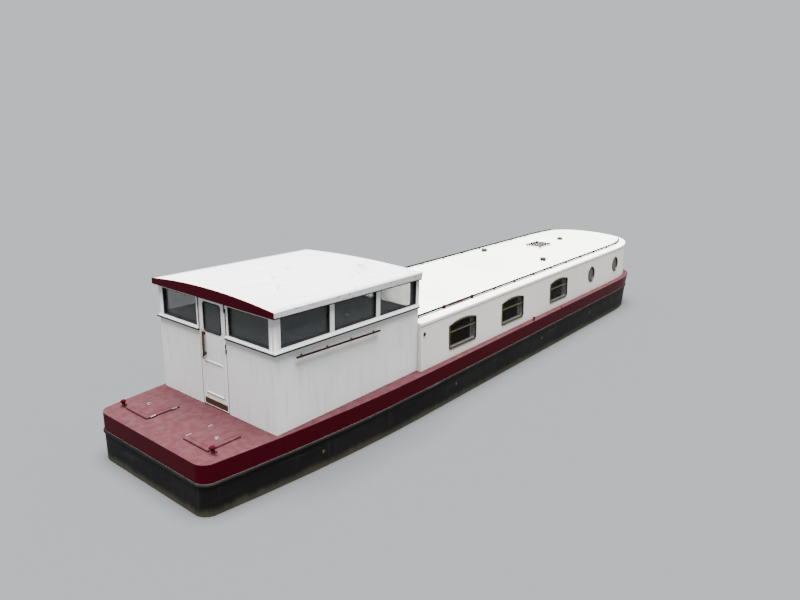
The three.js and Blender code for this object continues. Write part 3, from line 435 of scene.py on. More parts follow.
def worn(name, color, metallic, patches, tone, roughness, grain, shine=0.5):
    """A finish with patches of another tone and gloss, and a fine grain.

    patches holds their scale, detail, lower and upper threshold, and share of the tone. roughness
    is that of the clean parts and what the patches add. grain is scale, detail, strength and depth.
    """
    scale, detail, low, high, share = patches
    clean, added = roughness
    made = Finish(name, color, clean, metallic, shine)
    made.patches = made.blotches(scale, detail, low, high)
    made.layer(made.patches * share, tone)
    if added:
        made.give("Roughness", clean + made.patches * added)
    made.relief(made.noise(*grain[:2]), *grain[2:])
    return made


lids = []
for side in (1, -1):
    lids.append(slab((ahead(0.28), side * 0.44, 1.335), (ahead(0.82), side * 0.99, 1.378), 0.012, 3))
    lids.append(slab((ahead(0.34), side * 0.50, 1.376), (ahead(0.76), side * 0.93, 1.383), 0.003, 2))
done(fused(lids), "stern_locker_lids", maroon)
steel = worn("bare_steel", (0.32, 0.31, 0.3), 1.0, (22, 5, 0.5, 0.68, 1), (0.13, 0.06, 0.03), (0.35, 0.4),
             (140, 3, 0.25, 0.002))
steel.give("Metallic", 1 - steel.patches * 0.9)
hardware = []
for side in (1, -1):
    for station in (0.38, 0.72):
        hardware.append(tube([(ahead(station) + end, side * 0.432, 1.372) for end in (-0.04, 0.04)], 0.008))
    ring = [(ahead(0.55) + u, side * 0.82 + v, 1.388) for u, v in circle(0.03, 20)]
    hardware.append(tube(ring, 0.0045, closed=True))
done(fused(hardware), "stern_locker_fittings", steel)

# Mooring studs and pins.
# Turned steel welded to the decks: a stud with a cross bar at each stern corner and at the bow,
# and a short pin and a small eye on each gunwale near the middle window. All are painted maroon.
SIDES = (("port", 1), ("starboard", -1))


def mm(*values):
    """A profile in metres, from pairs of millimetres."""
    return [(values[k] / 1000, values[k + 1] / 1000) for k in range(0, len(values), 2)]


def turned(profile, middle, sides=24, way=UP):
    """A profile of (radius, height) pairs spun round an axis that points along way."""
    rows = []
    for k in range(sides + 1):
        turn = 2 * math.pi * (k % sides) / sides
        rows.append([(r * math.cos(turn), r * math.sin(turn), h) for r, h in profile])
    piece = skin(rows)
    aim = Vector(way).to_track_quat("Z", "Y").to_matrix().to_4x4()
    piece.data.transform(Matrix.Translation(middle) @ aim)
    return piece


STUD = mm(0, 0, 40, 0, 40, 6, 26, 12, 23, 85, 36, 92, 38, 104, 30, 114, 0, 118)
PIN = mm(0, 0, 30, 0, 30, 6, 22, 10, 21, 60, 29, 68, 28, 80, 0, 86)
for name, station, offset in (("port", 0.30, 1.08), ("starboard", 0.30, -1.08), ("bow", 14.582, 0)):
    foot = deck(station) - 0.003
    bar = tube([(ahead(station), offset + end, foot + 0.062) for end in (-0.085, 0.085)], 0.011)
    stud = fused([turned(STUD, (ahead(station), offset, foot)), bar])
    done(stud, "mooring_stud_" + name, maroon)
for name, side in SIDES:
    pin = turned(PIN, (ahead(8.20), side * 1.515, deck(8.20) - 0.002))
    eye = turned([(r * 0.55, h * 0.5) for r, h in PIN], (ahead(9.53), side * 1.532, deck(9.53) - 0.001))
    done(fused([pin, eye]), "mooring_pins_" + name, maroon)

# Hull fittings.
# Small brass outlets for the sinks and bilge pumps, and the engine's exhaust near the stern, are
# screwed through the plating under the rubbing strake. Below the waterline there are zinc anodes.
PLATING = 1.5245
OUTLET = mm(14, -20, 14, 10, 18, 12, 26, 7, 28, 0, 20, -4, 20, -20, 14, -20)
brass = worn("dull_brass", (0.24, 0.19, 0.12), 1.0, (40, 4, 0.42, 0.66, 1), (0.10, 0.075, 0.05), (0.28, 0.3),
             (220, 2, 0.15, 0.001))
zinc = worn("zinc_anode", (0.36, 0.37, 0.38), 0.6, (30, 5, 0.4, 0.65, 1), (0.6, 0.6, 0.58), (0.7, 0),
            (60, 4, 0.6, 0.004))
outlets = []
for side, station, height in ((-1, 1.9, 0.86), (-1, 5.2, 0.9), (-1, 8.6, 0.92), (-1, 11.2, 0.94),
                              (1, 2.4, 0.86), (1, 6.4, 0.9), (1, 10.4, 0.93)):
    middle = (ahead(station), side * (PLATING + 0.02 - taper(station)), height)
    outlets.append(turned(OUTLET, middle, 20, (0, side, 0)))
done(fused(outlets), "hull_outlets", brass)
anodes = []
for side in (1, -1):
    for station in (4.6, 8.6, 12.0):
        anodes.append(slab((ahead(station) - 0.15, side * (PLATING - 0.002), 0.26),
                           (ahead(station) + 0.15, side * (PLATING + 0.032), 0.33), 0.012, 3))
done(fused(anodes), "hull_anodes", zinc)

# Cabin shell.
# Steel sheet in warm off-white gloss, which stands on the gunwales and leans in a little. Rain has
# drawn faint grey drips down it. The same paint goes round the bow in one curved sheet.
cream = paint("cream_gloss", (0.52, 0.506, 0.48), 0.3, (0.36, 0.33, 0.29), 0.16)
# Painted shade: a darker strip aft of the first porthole, where the plate buckles a little.
buckle_shade = cream.within(cream.axes()[0], *map(ahead, (10.945, 10.95, 11.20, 10.96)))
cream.layer(buckle_shade * 0.4, (0.44, 0.42, 0.39))
splash = cream.mask(cream.above_deck() + cream.noise(14, 4) * 0.10, 0.13, 0.02)
cream.layer(splash * 0.4, (0.42, 0.36, 0.32))
wear(["cabin_side_port", "cabin_side_starboard"], cream)
dressed("cabin_front", cream)

# Cabin roof.
# Rolled steel with a low crown, in thick near-white paint with sand in it against slipping. It has
# yellowed in blotches, and dirt lies in the strip between the handrails and the edge.
sanded = paint("roof_paint", (0.87, 0.86, 0.82), 0.55, (0.45, 0.41, 0.33), 0.1)
x, y, z = sanded.axes()
sanded.layer(sanded.blotches(0.8, 5, 0.46, 0.72) * 0.4, (0.82, 0.78, 0.68))
from_middle = y.math("ABSOLUTE")
gutter = sanded.mask(from_middle + sanded.noise(7, 4) * 0.05, 1.30, 1.42)
sanded.layer(gutter * 0.35, (0.55, 0.52, 0.46))
# Under each handrail the roof is darker: dirt that is hard to wash out, and painted shade of the rail.
rail_dirt_and_shade = sanded.within(from_middle, 1.186, 1.196, 1.234, 1.222)
rail_dirt_and_shade = rail_dirt_and_shade * sanded.within(x, *map(ahead, (4.37, 4.41, 12.7, 12.3)))
sanded.layer(rail_dirt_and_shade * 0.55, (0.30, 0.275, 0.24))
# Painted shade on the roof under the pole rack.
rack_shade = sanded.within(x, *map(ahead, (11.06, 11.10, 11.76, 11.72)))
rack_shade = rack_shade * sanded.within(y, -0.13, -0.09, 0.325, 0.285)
sanded.layer(rack_shade * 0.3, (0.42, 0.40, 0.36))
joint = sanded.mask((x + 0.4) % 2.4, 0.012, 0.004)
sanded.layer(joint * 0.12, (0.5, 0.46, 0.4))
sanded.give("Roughness", 0.58)
sanded.relief(sanded.noise(420, 2) * 0.5 + sanded.noise(1.3, 3) * 0.6 + joint * 0.25, 0.25, 0.008)
dressed("cabin_roof", sanded, bevel=0.012, segments=3, degrees=40)

# Arched windows.
# Three to a side. A black anodised frame is clamped through the wall and carries a gold line. Its
# top third is a hopper that tips inwards on a gold-edged bar. Behind lie a cream liner and a curtain.
CABIN_HALF, CABIN_TIP, CABIN_LEAN = 1.425, 14.538, 0.035 / 0.807
GLASS_DEPTHS = (-0.0035, -0.0095)
CURTAIN_DEPTH, CURTAIN_TOP, CURTAIN_DROP = -0.105, 0.515, 0.50
CURTAIN_FORE, CURTAIN_WIDTH, FOLDS = 0.52, 0.12, 5
RIM = mm(0, 0.5, 0, 6, 3, 9.5, 12, 10.5, 22, 10.5, 28, 8, 31, 3, 34, 0, 34, -45, 22, -45, 22, 0.5)
GILT = mm(10, 9, 10, 12.5, 16, 12.5, 16, 9)
HOPPER_RIM = mm(0, -18, 0, -6, 4, -3, 13, -3, 17, -7, 17, -18)
LINER = mm(34.5, -10.5, 34.5, -85, 37, -85, 37, -10.5)
KNOB = mm(0, 0, 10, 0, 10, 8, 6, 10, 11, 18, 11, 24, 0, 27)
black_frame = worn("black_anodised", (0.012, 0.011, 0.008), 0.15, (30, 4, 0.55, 0.75, 0.5),
                   (0.055, 0.05, 0.038), (0.28, 0.25), (240, 2, 0.12, 0.001), 0.1)
gold = worn("gold_line", (0.56, 0.48, 0.22), 1.0, (35, 4, 0.45, 0.7, 0.7), (0.26, 0.23, 0.13), (0.26, 0.3),
            (160, 2, 0.1, 0.001))


def see_through(finish, alpha, glance, film=0.0):
    """Makes a glass clearer where it is seen straight on and duller where its film is."""
    slant = finish.node("ShaderNodeFresnel", (), {"IOR": 1.5})
    finish.give("Alpha", alpha + finish.patches * film + slant * glance)


smoked = worn("smoked_glass", (0.004, 0.004, 0.0035), 0.0, (5, 4, 0.45, 0.8, 0.3), (0.04, 0.037, 0.032),
              (0.03, 0.08), (1.4, 2, 0.03, 0.01), 0.14)
see_through(smoked, 0.1, 0.45)


def arched(inset, half=0.4575, foot=0.0, springing=0.454, rise=0.072, corner=0.06):
    """Outline of an arched window in its wall: (along, up) pairs, closed."""
    half, foot, rise = half - inset, foot + inset, rise - inset
    corner = max(corner - inset / 2, 0.006)
    radius = (half ** 2 + rise ** 2) / (2 * rise)
    spread = math.asin(half / radius)
    line = []
    for middle, first in ((-half + corner, 180), (half - corner, 270)):
        for k in range(7):
            turn = math.radians(first + 15 * k)
            line.append((middle + corner * math.cos(turn), foot + corner + corner * math.sin(turn)))
    for k in range(17):
        turn = math.pi / 2 - spread + 2 * spread * k / 16
        line.append((radius * math.cos(turn), springing + rise - radius + radius * math.sin(turn)))
    return [*line, line[0]]


def hopper(inset):
    return arched(inset, half=0.4235, foot=0.336, springing=0.436, rise=0.058, corner=0.02)


def ringed(outline, section):
    """A moulded frame: section gives (inset, outward) pairs that follow an outline."""
    rows = [[(u, depth, v) for u, v in outline(inset)] for inset, depth in section]
    return skin([*rows, rows[0]])


def on_wall(station, height, side):
    """Matrix of a frame on the cabin's wall: X along it, Y outwards and Z up."""
    share = max(0, station - BOW_START) / (CABIN_TIP - BOW_START)
    fullness = 1 - share ** BOW_POWER
    curve = CABIN_HALF / (CABIN_TIP - BOW_START) * share ** (BOW_POWER - 1)
    slope = math.atan(curve * fullness ** (1 / BOW_POWER - 1))
    across = CABIN_HALF * fullness ** (1 / BOW_POWER) - CABIN_LEAN * height
    return (Matrix.Translation((ahead(station), side * across, deck(station) + height))
            @ Matrix.Rotation(-side * slope, 4, "Z") @ Matrix.Rotation(side * math.atan(CABIN_LEAN), 4, "X")
            @ Matrix.Diagonal((1, side, 1, 1)))


def moved(piece, matrix):
    """Moves the mesh of a piece by a matrix that may mirror it."""
    piece.data.transform(matrix)
    if matrix.determinant() < 0:
        piece.data.flip_normals()
    return piece


def again(model, matrix):
    """A copy with its own mesh, moved by a matrix."""
    return moved(linked(model.name, model.data.copy()), matrix)


def put_away(models):
    """Removes the models that copies were taken from."""
    for model in models:
        bpy.data.objects.remove(model)


def set_in(models, node, stations, height):
    """Sets copies of the models in both walls. The first model takes the place of the CAD node."""
    sets = []
    for side_name, side in SIDES:
        for number, station in enumerate(stations, 1):
            spot = on_wall(station, height, side)
            end = f"_{side_name}_{number}"
            sets.append([done(again(model, spot), name + end, finish, degrees=degrees)
                         for name, model, finish, slot, degrees in models])
            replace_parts(sets[-1][0], node + end)
    put_away([model for name, model, finish, slot, degrees in models])
    return sets


frame_model = fused([ringed(arched, RIM), slab((-0.426, -0.019, 0.316), (0.426, -0.001, 0.338)),
                     ringed(hopper, HOPPER_RIM), turned(KNOB, (0, -0.030, 0.47), 14, (0, -1, 0))])
gilt_model = fused([ringed(arched, GILT), slab((-0.42, -0.0015, 0.3235), (0.42, 0.0015, 0.3305), 0.001)])
pane_model = skin([[(u, depth, v) for u, v in arched(0.030)] for depth in GLASS_DEPTHS], capped=True)
rail_model = tube([(-0.47, CURTAIN_DEPTH, 0.519), (0.54, CURTAIN_DEPTH, 0.519)], 0.006)
cloth = Finish("curtain_cloth", (0.74, 0.74, 0.73), 0.9, constants={"Sheen Weight": 0.3})
threads = cloth.noise(260, 2, stretch=(1, 1, 0.25))
cloth.layer(cloth.mask(threads, 0.35, 0.7), (0.62, 0.62, 0.61))
cloth.relief(threads, 0.4, 0.002)
curtain_rows, flat_width = [], 0.0
for down in range(9):
    share = down / 8
    line = []
    for k in range(FOLDS * 12 + 1):
        t = k / (FOLDS * 12)
        swing = 0.013 * math.sin(2 * math.pi * FOLDS * t + 0.35 * math.sin(3 * share))
        line.append((CURTAIN_FORE - CURTAIN_WIDTH * t, CURTAIN_DEPTH + swing,
                     CURTAIN_TOP - CURTAIN_DROP * share))
    flat_width += sum(math.dist(a, b) for a, b in zip(line, line[1:])) / 9
    curtain_rows.append(line)
window_models = [("window_frame", frame_model, black_frame, "window_frame", 40),
                 ("window_gilt", gilt_model, gold, "porthole_bezel", 40),
                 ("window_pane", pane_model, smoked, "glass", 40),
                 ("window_liner", ringed(arched, LINER), cream, "cream_paint", 40),
                 ("curtain_rail", rail_model, brass, "bronze", 30),
                 ("curtain", skin(curtain_rows), cloth, "curtain_cloth", 60)]
for *_, rail, curtain in set_in(window_models, "window", (5.56, 7.42, 9.57), 0.145):
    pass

# Portholes.
# Two to a side, the forward one on the curve of the bow. A turned brass bezel has gone brown; eight
# screws hold it over a dark round pane.
BEZEL = mm(166, -24, 166, 3, 169, 9, 175, 13.5, 187, 13.5, 194, 9, 197, 0.6, 171, 0.6, 171, -24, 166, -24)
SCREW = mm(0, 17.5, 4, 17, 6.2, 14.5, 6.2, 10, 0, 10)
OUTWARD, ORIGIN = (0, 1, 0), (0, 0, 0)
bezel = worn("brown_bezel", (0.05, 0.031, 0.022), 0.6, (28, 5, 0.4, 0.7, 1), (0.026, 0.017, 0.013),
             (0.3, 0.3), (150, 3, 0.2, 0.001))
frosted = Finish("frosted_glass", (0.036, 0.033, 0.030), 0.3, shine=0.25)
pebbles = frosted.noise(70, 3)
frosted.layer(frosted.mask(pebbles, 0.35, 0.7), (0.06, 0.056, 0.05))
frosted.give("Roughness", 0.22 + pebbles * 0.2)
frosted.relief(pebbles, 0.35, 0.002)
screws = [turned(SCREW, (u, -0.002, v), 10, OUTWARD) for u, v in circle(0.181, 8, 22.5)]
disc = turned(mm(0, -22, 167.5, -22, 167.5, -13, 0, -11), ORIGIN, 48, OUTWARD)
set_in([("porthole_bezel", fused([turned(BEZEL, ORIGIN, 48, OUTWARD), *screws]), bezel, "porthole_bezel", 40),
        ("porthole_pane", disc, frosted, "glass", 40)], "porthole", (11.43, 13.025), 0.430)

# Wheelhouse walls.
# Sheet steel on a frame of square tube, in white gloss, lined inside with pale grey-green board.
# Three windows a side, two aft and three forward are bedded in black rubber over a sloping sill.
WALL, AFT_WALL, FRONT_WALL = 1.329, 1.15, 4.265
POST, SIDE_PANE, FRONT_HALF, FRONT_PANE = 0.09, 0.91867, 1.2837, 0.7358
SILL_LOW, SILL_HIGH, SILL_LIFT = 2.483, 2.509, 0.042
BEDDING = mm(-1, -43, -1, -8, 3, -4, 9, -4, 12, -9, 12, -43)
white = paint("white_gloss", (0.58, 0.58, 0.575), 0.32, (0.33, 0.31, 0.28), 0.16)
x, y, z = white.axes()
aside = y.math("ABSOLUTE")
below = white.blotches(13, 4, 0.5, 0.72, (1, 1, 0.12)) * white.mask(z, 2.49, 2.2)
white.layer(below * 0.25, (0.30, 0.27, 0.22))
weep = white.within(aside, 0.296, 0.300, 0.320, 0.303) * white.mask(x, ahead(1.17), ahead(1.16))
weep = weep * white.blotches(4, 3, 0.3, 0.5, (1, 1, 0.3))
white.layer(weep * 0.8, (0.13, 0.07, 0.035))
white.layer(white.within(z, 2.524, 2.528, 2.580, 2.574) * 0.6, (0.42, 0.415, 0.40))
indoors = white.mask(aside, 1.290, 1.286) * white.within(x, *map(ahead, (1.189, 1.193, 4.226, 4.222)))
white.layer(indoors, (0.38, 0.395, 0.345))
for node in ("side_port", "side_starboard", "aft_port", "aft_starboard", "front"):
    wall = dressed("wheelhouse_" + node, white, bevel=0.0035)
    for vertex in wall.data.vertices:
        if SILL_LOW < vertex.co.z < SILL_HIGH:
            vertex.co.z += SILL_LIFT

clear = worn("clear_glass", (0.082, 0.088, 0.09), 0.0, (4, 5, 0.45, 0.8, 0.4), (0.16, 0.168, 0.164),
             (0.02, 0.08), (1.1, 2, 0.02, 0.01), 0.6)
see_through(clear, 0.14, 0.6, 0.05)
wear(["wheelhouse_glass_port", "wheelhouse_glass_starboard", "wheelhouse_glass_aft_port",
      "wheelhouse_glass_aft_starboard", "wheelhouse_glass_front", "stern_door_glass"], clear)
rubber = worn("window_rubber", (0.010, 0.010, 0.011), 0.0, (40, 4, 0.45, 0.75, 0.5), (0.04, 0.04, 0.039),
              (0.6, 0), (300, 2, 0.3, 0.001), 0.1)


def squared(low_u, high_u, low_v, high_v, corner):
    """Outline of an opening with round corners, as a function of its inset."""
    def outline(inset):
        soft = max(corner - inset, 0.002)
        line = []
        for u, v, first in ((high_u - inset - soft, low_v + inset + soft, 270),
                            (high_u - inset - soft, high_v - inset - soft, 0),
                            (low_u + inset + soft, high_v - inset - soft, 90),
                            (low_u + inset + soft, low_v + inset + soft, 180)):
            for k in range(5):
                turn = math.radians(first + 22.5 * k)
                line.append((u + soft * math.cos(turn), v + soft * math.sin(turn)))
        return [*line, line[0]]
    return outline


def facing(station, way):
    """Matrix for a piece drawn as (athwart, outward, up), on a face that looks aft (-1) or ahead (1)."""
    return Matrix(((0, way, 0, ahead(station)), (1, 0, 0, 0), (0, 0, 1, 0), (0, 0, 0, 1)))


def bedded(name, panes, foot, head, matrix):
    """Rubber beds round the window openings of one wall."""
    beds = [ringed(squared(low, high, foot, head, 0.004), BEDDING) for low, high in panes]
    done(moved(fused(beds), matrix), "window_rubber_" + name, rubber, degrees=50)


side_starts = [ahead(1.262 + k * (SIDE_PANE + POST)) for k in range(3)]
front_starts = [POST - FRONT_HALF + k * (FRONT_PANE + POST) for k in range(3)]
bedded("front", [(low, low + FRONT_PANE) for low in front_starts], 2.48, 2.985, facing(FRONT_WALL, 1))
for side_name, side in SIDES:
    on_side = Matrix.Translation((0, side * WALL, 0)) @ Matrix.Diagonal((1, side, 1, 1))
    bedded(side_name, [(low, low + SIDE_PANE) for low in side_starts], 2.575, 3.004, on_side)
    bedded("aft_" + side_name, [sorted((side * 0.365, side * 1.225))], 2.565, 2.990, facing(AFT_WALL, -1))
    # A black rubber strip under each sill, which also stands in for the sill's shadow line as painted shade.
    along = slab((ahead(1.1175), side * 1.331, 2.506), (ahead(4.264), side * 1.3695, 2.530), 0.002, 1)
    across = slab((ahead(1.1175), side * 0.31, 2.506), (ahead(1.1485), side * WALL, 2.530), 0.002, 1)
    done(fused([along, across]), "sill_strip_and_shadow_" + side_name, rubber)

# Wheelhouse roof.
# One glass-fibre moulding with a low crown. Its gelcoat has gone grey-white, with hairline crazing
# and its crown sags forward. A soft edge is turned down over each eave. A maroon board ends it aft.
ROOF_AFT, ROOF_LENGTH, ROOF_HALF = 1.11, 3.19, 1.365
EAVES_Y, EAVES_LIFT, CROWN_SAG, FRONT_SAG, FRONT_DRAW = 1.3645, 0.016, 0.008, 0.034, 0.03
FASCIA_STRETCH = 1.0176
EDGE = [(-0.012, 0), (0.014, 0), (0.0195, 0.05), (0.02, 0.09), (0.02, 0.11), (0.02, 0.83), (0.02, 0.85),
        (0.0175, 0.92), (0.011, 0.97), (0, 0.99), (-0.02, 1), (-0.02, 0.4), (-0.012, 0)]
DRIP_AND_SHADOW = mm(0, -14, 14, -14, 16, 1, 0, 1, 0, -14)
gelcoat = paint("roof_gelcoat", (0.70, 0.688, 0.676), 0.42, (0.36, 0.34, 0.32), 0.22)
gelcoat.layer(gelcoat.blotches(1.4, 5, 0.5, 0.75) * 0.35, (0.56, 0.545, 0.53))
crackle = gelcoat.node("ShaderNodeTexVoronoi", {"feature": "DISTANCE_TO_EDGE"},
                       {"Vector": gelcoat.place(), "Scale": 1.5}) + gelcoat.noise(3, 5) * 0.09
hair = gelcoat.within(crackle, 0.034, 0.043, 0.056, 0.047) * gelcoat.blotches(1.3, 3, 0.42, 0.55)
gelcoat.layer(hair * 0.8, (0.22, 0.205, 0.19))
aside = gelcoat.axes()[1].math("ABSOLUTE")
# The gelcoat greys towards each eave and over its edge: partly weathering, partly painted shade of the roll.
edge_grey_and_shade = gelcoat.mask(aside + gelcoat.noise(9, 4) * 0.03, 1.285, 1.36)
gelcoat.layer(edge_grey_and_shade * 0.8, (0.37, 0.368, 0.36))
spots = gelcoat.mask(aside, 1.355, 1.366) * gelcoat.blotches(16, 3, 0.60, 0.66)
gelcoat.layer(spots * 0.7, (0.12, 0.115, 0.11))
gelcoat.relief(gelcoat.noise(1.2, 4) * 1.2 + gelcoat.noise(200, 2) * 0.1 - hair * 0.3, 0.22, 0.01)


def crown(y):
    """1 over the keel and 0 at the eaves."""
    return 1 - (y / ROOF_HALF) ** 2


sagged = dressed("wheelhouse_roof", gelcoat, bevel=0.012, segments=4, degrees=40)
for vertex in sagged.data.vertices:
    x, y, z = vertex.co
    share = (x - ahead(ROOF_AFT)) / ROOF_LENGTH
    if z > 3.07 + 0.082 * (1 - (y / WALL) ** 2):
        vertex.co.z += EAVES_LIFT - (CROWN_SAG + FRONT_SAG * share) * crown(y)
    elif share > 0.98:
        vertex.co.x -= FRONT_DRAW
board = dressed("wheelhouse_fascia", maroon, bevel=0.004, degrees=40)
for vertex in board.data.vertices:
    if vertex.co.z > 3.05:
        vertex.co.z += EAVES_LIFT - CROWN_SAG * crown(vertex.co.y)
    vertex.co.y *= FASCIA_STRETCH
for side_name, side in SIDES:
    edge_rows, drip_and_shadow_rows = [], []
    for station, full in ((1.112, 0.7), (1.118, 1.0), (2.7, 1.0), (4.292, 1.0), (4.300, 0.8)):
        share = (station - ROOF_AFT) / ROOF_LENGTH
        low, high, draw = 3.0285 - 0.0265 * share, 3.1155 + 0.004 * share, FRONT_DRAW * share
        edge_rows.append([(ahead(station) - draw * (1 - t), side * (EAVES_Y + u * full),
                           low + (high - low) * t) for u, t in EDGE])
        drip_and_shadow_rows.append([(ahead(station) - draw, side * (EAVES_Y + u), low + v) for u, v in DRIP_AND_SHADOW])
    done(skin(edge_rows, capped=True), "roof_edge_" + side_name, gelcoat, degrees=60)
    # A dark rubber drip strip under each eave, which also stands in for the eave's shadow line as painted
    # shade.
    done(skin(drip_and_shadow_rows, capped=True), "roof_drip_and_shadow_" + side_name, rubber)

# Rails on the wheelhouse.
# A grab rail of weathered dark wood runs along each side below the sill on four stand-offs. A
# rubber bead is glued down each forward corner and turns aft above the sill.
MOUNT = mm(0, 0, 22, 0, 22, 4, 9, 9, 9, 36, 0, 36)
SOCKET = mm(0, 0, 34, 0, 34, 6, 28, 12, 14, 13, 12, 9, 0, 9)
SOCKET_HEIGHT = 2.022


def varnished(name, color, streak, shine):
    """Wood under varnish, with its grain along the boat."""
    made = Finish(name, color, 0.3, shine=shine)
    grain = made.noise(5, 6, stretch=(1.2, 14, 14), warp=0.6)
    made.layer(made.mask(grain, 0.35, 0.7), streak)
    made.give("Roughness", 0.24 + made.noise(30, 3) * 0.2)
    made.relief(grain, 0.15, 0.002)
    return made


def eased(points, radius, steps=5):
    """A run of points with its corners rounded."""
    points = [Vector(p) for p in points]
    run = [points[0]]
    for before, corner, after in zip(points, points[1:], points[2:]):
        reach = min(radius, (before - corner).length / 2, (after - corner).length / 2)
        start = corner + (before - corner).normalized() * reach
        end = corner + (after - corner).normalized() * reach
        for k in range(steps + 1):
            t = k / steps
            run.append(start * (1 - t) ** 2 + corner * 2 * t * (1 - t) + end * t ** 2)
    return run + [points[-1]]


def grab_level(station):
    return 2.426 - 0.02 * station


weathered = varnished("weathered_varnish", (0.010, 0.0035, 0.0035), (0.020, 0.008, 0.007), 0.02)
for side_name, side in SIDES:
    rail = tube([(ahead(s), side * 1.372, grab_level(s)) for s in (1.50, 1.505, 2.4, 3.225, 3.23)], 0.016, 3)
    mounts = [turned(MOUNT, (ahead(s), side * (WALL - 0.0005), grab_level(s)), 14, (0, side, 0))
              for s in (1.62, 2.12, 2.62, 3.12)]
    done(rail, "side_rail_" + side_name, weathered)
    done(fused(mounts), "side_rail_mounts_" + side_name, brass)
    bead = [(ahead(s), side * WALL, height) for s, height in ((4.259, 3.03), (4.259, 2.545), (4.175, 2.545))]
    done(tube(eased(bead, 0.07, 8), 0.008), "corner_bead_" + side_name, rubber)
    reach = CABIN_HALF - CABIN_LEAN * (SOCKET_HEIGHT - deck(4.369))
    socket = turned(SOCKET, (ahead(4.372), side * (reach - 0.0005), SOCKET_HEIGHT), 20, (0, side, 0.043))
    done(socket, "side_socket_" + side_name, black_frame)

# Stern door.
# A white door of folded sheet with a bedded pane, a raised panel and a brass kicking plate. It has
# a wooden pull, a lock and two barrel hinges, in bronze gone brown. Dark seals flank it on the wall.
DOOR_BODY = "stern_door_body"
DOOR_FACE, AFTWARD = ahead(AFT_WALL), (-1, 0, 0)
PULL_X, PULL_Y = DOOR_FACE - 0.037, 0.19
GRIP = mm(0, -6, 13, -4, 17, 20, 18.5, 90, 19, 150, 18.5, 210, 17, 280, 13, 304, 0, 306)
GRIP_END = mm(0, 0, 12, 2, 18, 10, 18.5, 40, 19.5, 42, 19.5, 50, 0, 50)
STAND_OFF = mm(0, -1, 24, -1, 24, 4, 12, 10, 10.5, 34, 0, 34)
LOCK = mm(0, -1, 24, -1, 24, 5, 20, 8, 8, 8, 6, 6, 0, 6)
LOWER_HINGE = mm(0, 0, 9.2, 0.4, 9.2, 59.6, 0, 60)
UPPER_HINGE = mm(0, 0, 9.2, 0.4, 9.2, 60, 6, 63, 7.8, 68, 4, 74, 0, 75)
varnish = varnished("brown_varnish", (0.04, 0.02, 0.009), (0.09, 0.048, 0.018), 0.15)
dressed("stern_door", white, bevel=0.003, body=DOOR_BODY)
bed = ringed(squared(-0.20, 0.20, 2.53, 2.96, 0.04), mm(-12, -2, -10, 4, -4, 6, 6, 5, 10, 0, 10, -17, 0, -17))
done(moved(bed, facing(AFT_WALL, -1)), "door_rubber", rubber, DOOR_BODY, 50)
panel = ringed(squared(-0.215, 0.215, 1.56, 2.08, 0.012), mm(0, -1, 0, 5, 5, 9, 14, 9, 20, 4, 24, -1))
done(moved(panel, facing(AFT_WALL, -1)), "door_panel_moulding", white, DOOR_BODY, 50)
plate = slab((DOOR_FACE - 0.0022, -0.27, 1.385), (DOOR_FACE + 0.001, 0.27, 1.475), 0.0009, 1)
done(plate, "door_kicking_plate", brass, DOOR_BODY)
done(turned(GRIP, (PULL_X, PULL_Y, 2.180), 20), "door_pull", varnish, DOOR_BODY)
ends = [turned(GRIP_END, (PULL_X, PULL_Y, z), 20, (0, 0, way)) for z, way in ((2.137, 1), (2.525, -1))]
ends += [turned(STAND_OFF, (DOOR_FACE, PULL_Y, z), 20, AFTWARD) for z in (2.179, 2.483)]
done(fused(ends), "door_pull_ends", bezel, DOOR_BODY)
done(turned(LOCK, (DOOR_FACE, 0.262, 2.10), 24, AFTWARD), "door_lock", steel, DOOR_BODY)
for number, height in enumerate((2.29, 2.89), 1):
    barrel = turned(LOWER_HINGE, (ahead(1.142), -0.30, height))
    done(barrel, f"door_hinge_{number}", bezel, DOOR_BODY)
    cap = turned(UPPER_HINGE, (ahead(1.142), -0.30, height + 0.0603))
    done(cap, f"wall_hinge_{number}", bezel)
seals = [slab((ahead(1.1465), side * 0.309, 2.51), (ahead(1.151), side * 0.328, 3.02), 0.001, 1)
         for side in (1, -1)]
done(fused(seals), "door_seals", weathered)

# Handrails on the cabin roof.
# Painted round bar on short turned legs follows each edge of the roof round to the bow. Abreast of
# the first window it passes through a thicker weathered wooden grip with ball ends.
RAIL_HALF, RAIL_TIP, RAIL_HEIGHT, GRIP_LENGTH = 1.210, 14.443, 0.038, 0.93
RAIL_LEGS = (4.43, 5.20, 6.13, 6.96, 7.79, 8.65, 9.49, 10.29, 11.13, 11.95, 12.79, 13.54)
RAIL_STOPS = [4.390, 4.41, 6, 8, 10, 12, *[12.25 + 1.82 * math.sin(math.pi / 48 * k) for k in range(25)]]
LEG = mm(0, 0, 26, 0, 26, 4, 14, 7, 12.5, 14, 14, 24, 17, 32, 18, 40, 14, 50, 0, 54)
BALL = mm(0, -18, 12, -14, 18.5, 0, 12, 14, 0, 18)
GRIP_HALF = mm(0, -34, 20, -30, 32, -8, 31, 14, 21, 28, 20.5, 40, 22.5, 250, 23, 465)
rail_black = worn("rail_black", (0.004, 0.0035, 0.003), 0.0, (35, 5, 0.56, 0.72, 0.7),
                  (0.016, 0.010, 0.008), (0.28, 0.3), (160, 3, 0.2, 0.001), 0.0)


def roof_height(station, across):
    """Top of the cabin's cambered roof."""
    return deck(station) + 0.852 + 0.105 * (1 - (across / 1.39) ** 2)


def rail_point(station, side, lift=RAIL_HEIGHT):
    """A point of the rail's middle line, or one as far above the roof as is asked for."""
    share = max(0, station - BOW_START) / (RAIL_TIP - BOW_START)
    across = RAIL_HALF * (1 - share ** BOW_POWER) ** (1 / BOW_POWER)
    return Vector((ahead(station), side * across, roof_height(station, across) + lift))


